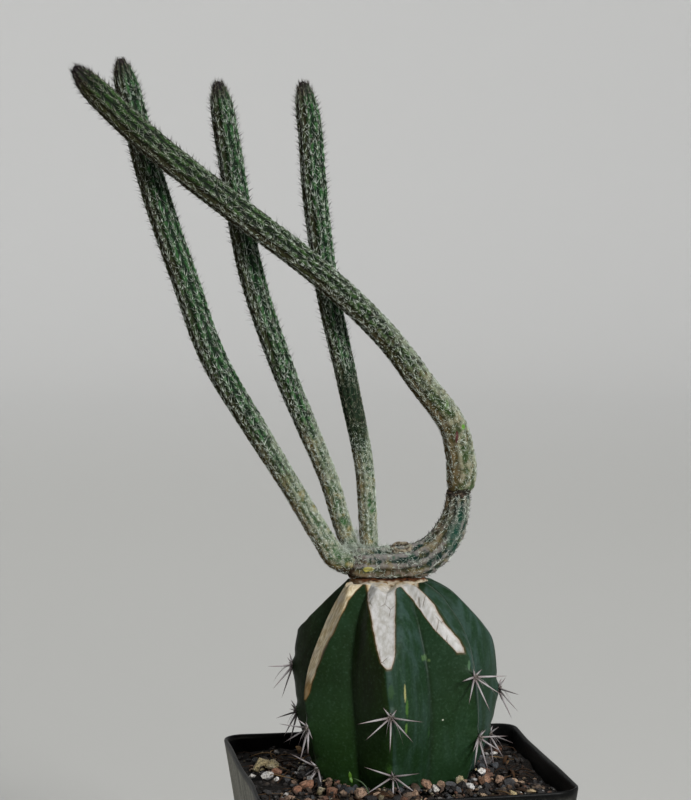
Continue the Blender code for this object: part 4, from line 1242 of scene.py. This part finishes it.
def half_width(height):
    """Half the pot's outer width at a height over its underside."""
    return (POT_FLOOR + (POT_RIM - POT_FLOOR) * height / POT_HEIGHT) / 2


def rounded_square(half, corner, arc=12, straight=22):
    """Points round a level square with rounded corners."""
    corner = min(corner, half)
    middle = half - corner
    points = []
    for quarter in range(4):
        turn = np.array([(math.cos(quarter * math.pi / 2), -math.sin(quarter * math.pi / 2)),
                         (math.sin(quarter * math.pi / 2), math.cos(quarter * math.pi / 2))])
        for step in range(arc + 1):
            angle = math.pi / 2 * step / arc
            points.append(turn @ (middle + corner * math.cos(angle), middle + corner * math.sin(angle)))
        for step in range(1, straight):
            points.append(turn @ (middle - 2 * middle * step / straight, half))
    return np.array(points)


def square_ring(half, corner, height):
    """A rounded square at a height."""
    flat = rounded_square(half, corner)
    return np.column_stack([flat, np.full(len(flat), float(height))])


def dress_pot():
    """The thin plastic pot: rounded corners, a softly wavy rim, and drain holes in its floor."""

    def wall(outside, *rows):
        return [(height, half_width(height) - inset, inset, outside) for height, inset in rows]

    rows = [(0, half, 0, 1) for half in (9, 19, 26, 28)]
    rows += wall(1, (0.08, 0.55), (0.35, 0.2), (0.9, 0), *((height, 0) for height in POT_LEVELS))
    rows += wall(1, (74.4, 0.02), (74.85, 0.16), (75, 0.5), (74.85, 0.84), (74.4, 0.98))
    rows += wall(0, *((height, POT_WALL) for height in reversed(POT_LEVELS)))
    rows += wall(0, (1.7, 1.05), (1.2, 1.3), (POT_WALL, 1.8))
    rows += [(POT_WALL, half, 0, 0) for half in (25, 18, 9)]
    rings = np.array([square_ring(half, max(0.5, POT_CORNER - inset), height)
                      for height, half, inset, outside in rows])
    outside = np.broadcast_to(np.array([row[3] for row in rows])[:, None], rings.shape[:2])
    high = rings[..., 2] / POT_HEIGHT
    wave = POT_WAVE * lumps(rings * (1, 1, 0.3), 24, 14) * high ** 2
    rings = rings + unit(rings * (1, 1, 0)) * wave[..., None]
    rings[..., 2] += (POT_RIM_WAVE * lumps(rings, 21, 15) - 0.2) * high ** 8
    rings[..., :2] = np.clip(rings[..., :2], -POT_RIM / 2, POT_RIM / 2)
    ends = [(0, 0, 0), (0, 0, POT_WALL)]
    drill(add_shell("pot_shell", rings, ends, pot_finish(), ["pot"], {"outside": outside}))


def drill(pot):
    """Cuts the four drain holes through the pot's floor."""
    holes = bmesh.new()
    for across in (-DRAIN_SPREAD, DRAIN_SPREAD):
        for away in (-DRAIN_SPREAD, DRAIN_SPREAD):
            place = Matrix.Translation((across * MM, away * MM, 0))
            bmesh.ops.create_cone(holes, cap_ends=True, segments=40, radius1=DRAIN_RADIUS * MM,
                                  radius2=DRAIN_RADIUS * MM, depth=6 * MM, matrix=place)
    mesh = bpy.data.meshes.new("drain_holes")
    holes.to_mesh(mesh)
    holes.free()
    cutter = add_object("drain_holes", mesh)
    hole = pot.modifiers.new("drain_holes", "BOOLEAN")
    hole.operation = "DIFFERENCE"
    hole.solver = "EXACT"
    hole.object = cutter
    bpy.context.view_layer.update()
    graph = bpy.context.evaluated_depsgraph_get()
    holed = bpy.data.meshes.new_from_object(pot.evaluated_get(graph), depsgraph=graph)
    pot.modifiers.clear()
    pot.data = holed
    bpy.data.objects.remove(cutter)


def pot_finish():
    """Satin black plastic with dust and lime stains outside, most of them on the left, where their grey is
    partly a painted reflection of the light on that face.
    """
    plastic = Finish("black_plastic", Specular_IOR_Level=0.08)
    streak = plastic.cloud(3.2, 3.0, (1, 1, 0.12))
    patch = plastic.cloud(16, 3.0)
    fine = plastic.cloud(0.6, 4.0)
    left = plastic.along(0).between(-24, -33)
    below_rim = plastic.along(2).between(74.2, 72.6)
    # Dust, and on the left face a painted grey reflection: the grey is partly real dust, partly painted
    # sheen.
    dust_and_sheen = (streak * 0.4 + patch * 0.4 + fine * 0.4 + left * 0.45 - 0.4).between(0.0, 0.9)
    dust_and_sheen = dust_and_sheen * plastic.attribute("outside") * (0.3 + left * 0.7) * below_rim
    black = plastic.mix(fine.between(0.4, 0.7) * 0.5, (6, 7, 7), (14, 14, 14))
    dust_and_sheen_grey = plastic.mix((streak * 0.5 + fine * 0.5).between(0.3, 0.7), (116, 115, 107), (158, 157, 147))
    plastic.colour(plastic.mix(dust_and_sheen, black, dust_and_sheen_grey))
    plastic.roughness(0.44 + dust_and_sheen * 0.4 + (fine - 0.5) * 0.15)
    plastic.bump(fine + streak * 0.5, 0.06, 0.6)
    return plastic


def soil_height(across, away):
    """Height of the soil over the pot's underside, in the pot's axes."""
    heap = SOIL_HEAP * np.exp(-(np.hypot(across, away) / SOIL_HEAP_REACH) ** 2)
    level = np.stack([across, away, np.full_like(across, SOIL_NOISE_SEED * SOIL_LUMP)], -1)
    return SOIL_EDGE + heap + SOIL_ROUGHNESS * lumps(level, SOIL_LUMP)


class Gravel:
    """Rough stones gathered for one piece, from a few shapes cut by random planes."""

    def __init__(self, detail, shapes, cuts):
        ball = bmesh.new()
        bmesh.ops.create_icosphere(ball, subdivisions=detail, radius=1)
        round_points = np.array([vert.co[:] for vert in ball.verts])
        self.faces = [tuple(vert.index for vert in face.verts) for face in ball.faces]
        ball.free()
        self.shapes = []
        for shape in range(shapes):
            points = round_points.copy()
            for way in random_directions(cuts):
                beyond = points @ way - draw.uniform(0.45, 0.8)
                points -= np.clip(beyond, 0, None)[:, None] * way
            points *= 1 + 0.09 * lumps(points, 0.6, 20 + shape)[:, None]
            self.shapes.append(points)
        self.rows = []

    def add(self, across, away, width, kind, dull, lift):
        """Adds a stone on the soil, in the pot's axes; dull is how much darker its soil coat makes it."""
        size = np.array((1.0, draw.uniform(0.55, 0.95), draw.uniform(0.45, 0.85)))
        lean = Euler((*draw.uniform(-0.45, 0.45, 2), draw.uniform(0, math.tau))).to_matrix()
        points = self.shapes[draw.integers(len(self.shapes))] * size * width / 2
        ground = float(soil_height(np.array(float(across)), np.array(float(away))))
        middle = np.array((across, away, ground + width * STONE_STAND * size[2] + lift))
        self.rows.append((points @ np.array(lean).T + middle, kind, dull, ground))

    def piece(self, name, finish):
        """Makes them one piece."""
        stones, kinds, dulls, grounds = zip(*self.rows)
        each = len(self.shapes[0])
        points = np.concatenate(stones)
        values = {
            "kind": np.repeat(kinds, each),
            "dull": np.repeat(dulls, each),
            "low": np.clip(1 - (points[:, 2] - np.repeat(grounds, each)) / 1.5, 0, 1),
        }
        faces = repeated(self.faces, len(stones), each)
        add_piece(name, points, faces, finish, (), values, None, False)


def stone_kind(across, away):
    """The kind of a stone, 0 dark to 1 white, by where it lies: red and tan in front, grey on the right."""
    front = 1 / (1 + math.exp((away + 8) / 5))
    right = 1 / (1 + math.exp(-(across - 20) / 4)) * (1 - front * 0.6)
    weights = np.array((
        0.42 + 0.5 * right, 0.2 + 0.3 * right, 0.26 - 0.1 * right,
        0.06 + 0.13 * front, 0.09 + 0.2 * front, 0.08, 0.08,
    ))
    kinds = (0.0, 0.18, 0.34, 0.5, 0.64, 0.82, 1.0)
    return draw.choice(kinds, p=weights / weights.sum()) + draw.uniform(-0.05, 0.05)


def inside_pot(across, away, margin):
    """Whether a spot of the soil is clear of the pot's walls by a margin."""
    reach = SOIL_REACH - margin
    corner = max(SOIL_CORNER - margin, 1.0)
    into = [max(0.0, abs(run) - reach + corner) for run in (across, away)]
    return abs(across) < reach and abs(away) < reach and math.hypot(*into) < corner


def dress_mix():
    """The potting mix, which fills the pot."""
    heights = (SOIL_FLOOR, *np.linspace(8, SOIL_EDGE - 4, 12))
    rings = [square_ring(half_width(height) - SOIL_INSET, SOIL_CORNER, height) for height in heights]
    for share in np.linspace(1, 0.02, 62):
        ring = square_ring(SOIL_REACH * share, SOIL_CORNER * (1 + 2.5 * (1 - share)), 0)
        ring[:, 2] = soil_height(ring[:, 0], ring[:, 1])
        ring[:, 2] += 0.5 * lumps(ring, 2.0, 16) + 0.3 * lumps(ring, 0.9, 17)
        rings.append(ring)
    ends = [(0, 0, SOIL_FLOOR), (0, 0, rings[-1][:, 2].mean())]
    add_shell("soil_mix", np.array(rings), ends, soil_finish(), ["soil"])


def scatter(gravel, count, narrow, wide):
    """Adds stones at random, most of them in front and close round the stock."""
    for _ in range(count):
        crowd = width = across = away = from_stock = 0
        while not (from_stock > STOCK_CLEARANCE + width * 0.25 and draw.random() < crowd
                   and inside_pot(across, away, width * 0.45)):
            across, away = draw.uniform(-38, 38, 2)
            width = narrow + (wide - narrow) * draw.random() ** 1.7
            from_stock = math.hypot(across, away)
            front = 1 / (1 + math.exp((away + 13) / 2))
            crowd = 0.22 + 0.78 * max(front, math.exp(-((from_stock - 22) / 3.5) ** 2))
        lift = draw.uniform(0, 0.5) + 1.3 * math.exp(-((from_stock - 22.5) / 3.0) ** 2)
        gravel.add(across, away, width, stone_kind(across, away), draw.random() ** 0.7, lift)


def dress_grit():
    """The chosen stones, and medium and fine grit at random."""
    stone = stone_finish()
    turn = Matrix.Rotation(PLANT_TURN, 3, "Z")
    coarse = Gravel(2, 14, 9)
    for across, away, width, kind, lift in CHOSEN_STONES:
        spot = turn @ Vector((across, away, 0))
        coarse.add(spot.x, spot.y, width, kind, draw.uniform(0, 0.3), lift)
    medium = Gravel(1, 16, 6)
    fine = Gravel(1, 12, 5)
    scatter(medium, GRIT_STONES, *GRIT_WIDTH)
    scatter(fine, FINE_GRIT, *FINE_GRIT_WIDTH)
    coarse.piece("grit_coarse", stone)
    medium.piece("grit_medium", stone)
    fine.piece("grit_fine", stone)


def add_litter(name, strands, finish, count, lengths, widths, curl):
    """Bits of wood that lie on the soil at random."""
    steps = np.linspace(-0.5, 0.5, 6)
    limit = SOIL_REACH - 0.6
    for _ in range(count):
        across = away = 0
        while math.hypot(across, away) < 23 or not inside_pot(across, away, 3):
            across, away = draw.uniform(-36, 36, 2)
        heading = draw.uniform(0, math.tau)
        length = draw.uniform(*lengths)
        angle = heading + draw.normal(0, curl) * steps
        path = np.stack([across + np.cos(angle) * steps * length, away + np.sin(angle) * steps * length,
                         np.zeros(6)], -1)
        path[:, :2] = np.clip(path[:, :2], -limit, limit)
        hump = draw.uniform(0.3, 1.8) * (0.25 - steps ** 2) * 4
        path[:, 2] = soil_height(path[:, 0], path[:, 1]) + 0.5 + hump
        width = draw.uniform(*widths) * np.array((0.6, 0.95, 1.0, 0.9, 0.6))
        up = np.array((0, 0, 1.0)) + draw.normal(0, 0.25, 3)
        strands.add_one(in_plant(path), width, draw.random(), up)
    strands.piece(name, finish, "soil")


def dress_litter():
    """Fibres and bark chips on the soil."""
    woody = Finish("bark_chip", Roughness=0.9, Specular_IOR_Level=0.2)
    tone = woody.attribute("tone")
    brown = woody.ramp(tone, (0.0, (24, 16, 10)), (0.6, (62, 42, 25)), (1.0, (132, 106, 72)))
    woody.colour(woody.mix(woody.cloud(0.9, 3.0).between(0.4, 0.7) * 0.6, brown, (30, 20, 14)))
    add_litter("soil_fibres", Strands(5), woody, FIBRES, (4, 13), (0.08, 0.22), 0.8)
    add_litter("bark_chips", Strands(8, 0.32), woody, BARK_CHIPS, (2.5, 7), (0.5, 1.1), 0.1)


def dress_seedling():
    """A seedling with two leaves at the foot of the stock."""
    fresh = Finish("seedling", Roughness=0.5, Specular_IOR_Level=0.4)
    light = (fresh.attribute("tone") + (fresh.cloud(0.7, 2.0) - 0.5) * 0.4).between(0.1, 0.9)
    fresh.colour(fresh.mix(light, (46, 66, 34), (68, 104, 26)))
    foot = np.array((-6.6, -24.2, -3.6))
    top = np.array((-11.4, -23.4, 1.2))
    steps = np.linspace(0, 1, 6)[:, None]
    stalk = Strands(6)
    bow = np.array((0.9, 0, 0.9)) * np.sin(steps * math.pi)
    stalk.add_one(foot + (top - foot) * steps + bow, 0.2, 0.1, (0, 1, 0))
    stalk.piece("seedling_stalk", fresh, "soil")
    leaves = Strands(10, 0.4)
    for way, length in (((-0.15, -0.3, 1.0), 1.8), ((0.35, -0.2, -1.0), 1.5)):
        path = top + unit(np.array(way)) * np.linspace(-0.3, length, 6)[:, None]
        leaves.add_one(path, (0.2, 0.38, 0.46, 0.4, 0.24), 0.9, (0.3, -1, 0.2))
    leaves.piece("seedling_leaves", fresh, "soil")


def soil_finish():
    """Dark damp potting mix."""
    mix = Finish("potting_mix", Specular_IOR_Level=0.2)
    fine = mix.cloud(0.5, 4.0)
    lump = mix.cloud(2.6, 3.0)
    damp = (lump.between(0.42, 0.62) * 0.8, (9, 8, 7))
    mix.colour(mix.layers((7, 6, 5), (fine.between(0.4, 0.72), (40, 31, 22)), damp))
    mix.roughness(0.9 + (fine - 0.5) * 0.15)
    mix.bump(fine + lump, 0.5, 0.9)
    return mix


def stone_finish():
    """Grit of many colours: dark, grey, brown, terracotta, tan, cream and white, darker low down with soil
    stains and painted shade where the stones meet the soil.
    """
    stone = Finish("grit", Specular_IOR_Level=0.35)
    fine = stone.cloud(0.45, 4.0)
    patch = stone.cloud(1.6, 3.0)
    kind = stone.attribute("kind") + (patch - 0.5) * 0.2
    # Low down each stone is darker: partly soil stains, partly painted shade where it meets the soil and its
    # neighbours.
    soil_stain_and_shade = (stone.attribute("low") + (patch - 0.5) * 1.1).between(0.2, 0.8)
    clean = stone.ramp(kind, (0.0, (24, 23, 24)), (0.18, (70, 76, 82)), (0.34, (80, 62, 44)),
                       (0.5, (136, 94, 72)), (0.64, (168, 140, 118)), (0.82, (186, 170, 128)),
                       (1.0, (218, 216, 214)))
    stone.colour(stone.layers(clean, (fine.between(0.42, 0.66) * 0.7, (48, 38, 30)),
                              (stone.attribute("dull") * 0.8, (27, 25, 24)), (soil_stain_and_shade * 0.88, (24, 19, 15))))
    stone.roughness(0.75 + (patch - 0.5) * 0.4)
    stone.bump(fine + patch * 0.5, 0.3, 1.0)
    return stone


def make_stage():
    """A pale floor that curves up into a round wall, far enough to leave every view clear."""
    bend = np.radians(np.linspace(0, 90, 13))
    radii = [*FLOOR_RADII, *(WALL_RADIUS - COVE * (1 - np.sin(bend))), WALL_RADIUS]
    heights = [*(0 for _ in FLOOR_RADII), *(COVE * (1 - np.cos(bend))), WALL_TOP]
    rings = [oval_loop(radius, radius, FLOOR_COLUMNS) + (0, 0, height)
             for radius, height in zip(radii, heights)]
    points = [*np.concatenate(rings), (0, 0, 0)]
    faces = []
    for column in range(FLOOR_COLUMNS):
        following = (column + 1) % FLOOR_COLUMNS
        faces.append((len(points) - 1, column, following))
        for low in range(0, len(points) - 1 - FLOOR_COLUMNS, FLOOR_COLUMNS):
            high = low + FLOOR_COLUMNS
            faces.append((low + column, high + column, high + following, low + following))
    pale = Finish("pale_floor", Roughness=0.9, Specular_IOR_Level=0.1)
    # Painted light and shade: the floor is painted darker near the plant, where the lights fall strongest,
    # and paler far off, so that it shows evenly bright.
    distance = pale.vector("LENGTH", pale.place(), output="Value")
    pale.colour(pale.mix(distance.between(900, 2200), (186, 186, 183), (208, 208, 207)))
    add_mesh("floor", points, faces, pale)


def add_light(name, place, aim, size, power, colour):
    """A soft square light at a place, turned to a point; both are in the plant's axes."""
    lamp = bpy.data.lights.new(name, "AREA")
    lamp.size = size * MM
    lamp.energy = power
    lamp.color = colour
    light = add_object(name, lamp)
    start = PLANT @ Vector(place)
    direction = PLANT @ Vector(aim) - start
    light.location = start * MM
    light.rotation_euler = direction.to_track_quat("-Z", "Y").to_euler()
    light.visible_camera = False


def make_lights():
    """The lights and a dim sky."""
    for row in LIGHTS:
        add_light(*row)
    world = bpy.data.worlds.new("sky")
    world.use_nodes = True
    sky = world.node_tree.nodes["Background"]
    sky.inputs["Color"].default_value = SKY_COLOUR
    sky.inputs["Strength"].default_value = SKY_STRENGTH
    bpy.context.scene.world = world


def make_camera():
    """The photograph's viewpoint."""
    lens = bpy.data.cameras.new("camera")
    lens.lens = CAMERA_LENS
    lens.sensor_width = 36
    lens.sensor_fit = "AUTO"
    lens.clip_start = 0.01
    lens.clip_end = 20
    camera = add_object("camera", lens)
    camera.location = (PLANT @ Vector((CAMERA_ACROSS, -CAMERA_DISTANCE, CAMERA_HEIGHT))) * MM
    camera.rotation_euler = (math.pi / 2 - CAMERA_PITCH, 0, PLANT_TURN)
    bpy.context.scene.camera = camera
    bpy.context.scene.view_settings.view_transform = "Standard"


make_camera()
make_stage()
make_lights()
dress_stems()
dress_stock()
dress_callus()
dress_pinch()
dress_shoot_scar()
dress_spines()
dress_mix()
dress_grit()
dress_litter()
dress_seedling()
dress_pot()
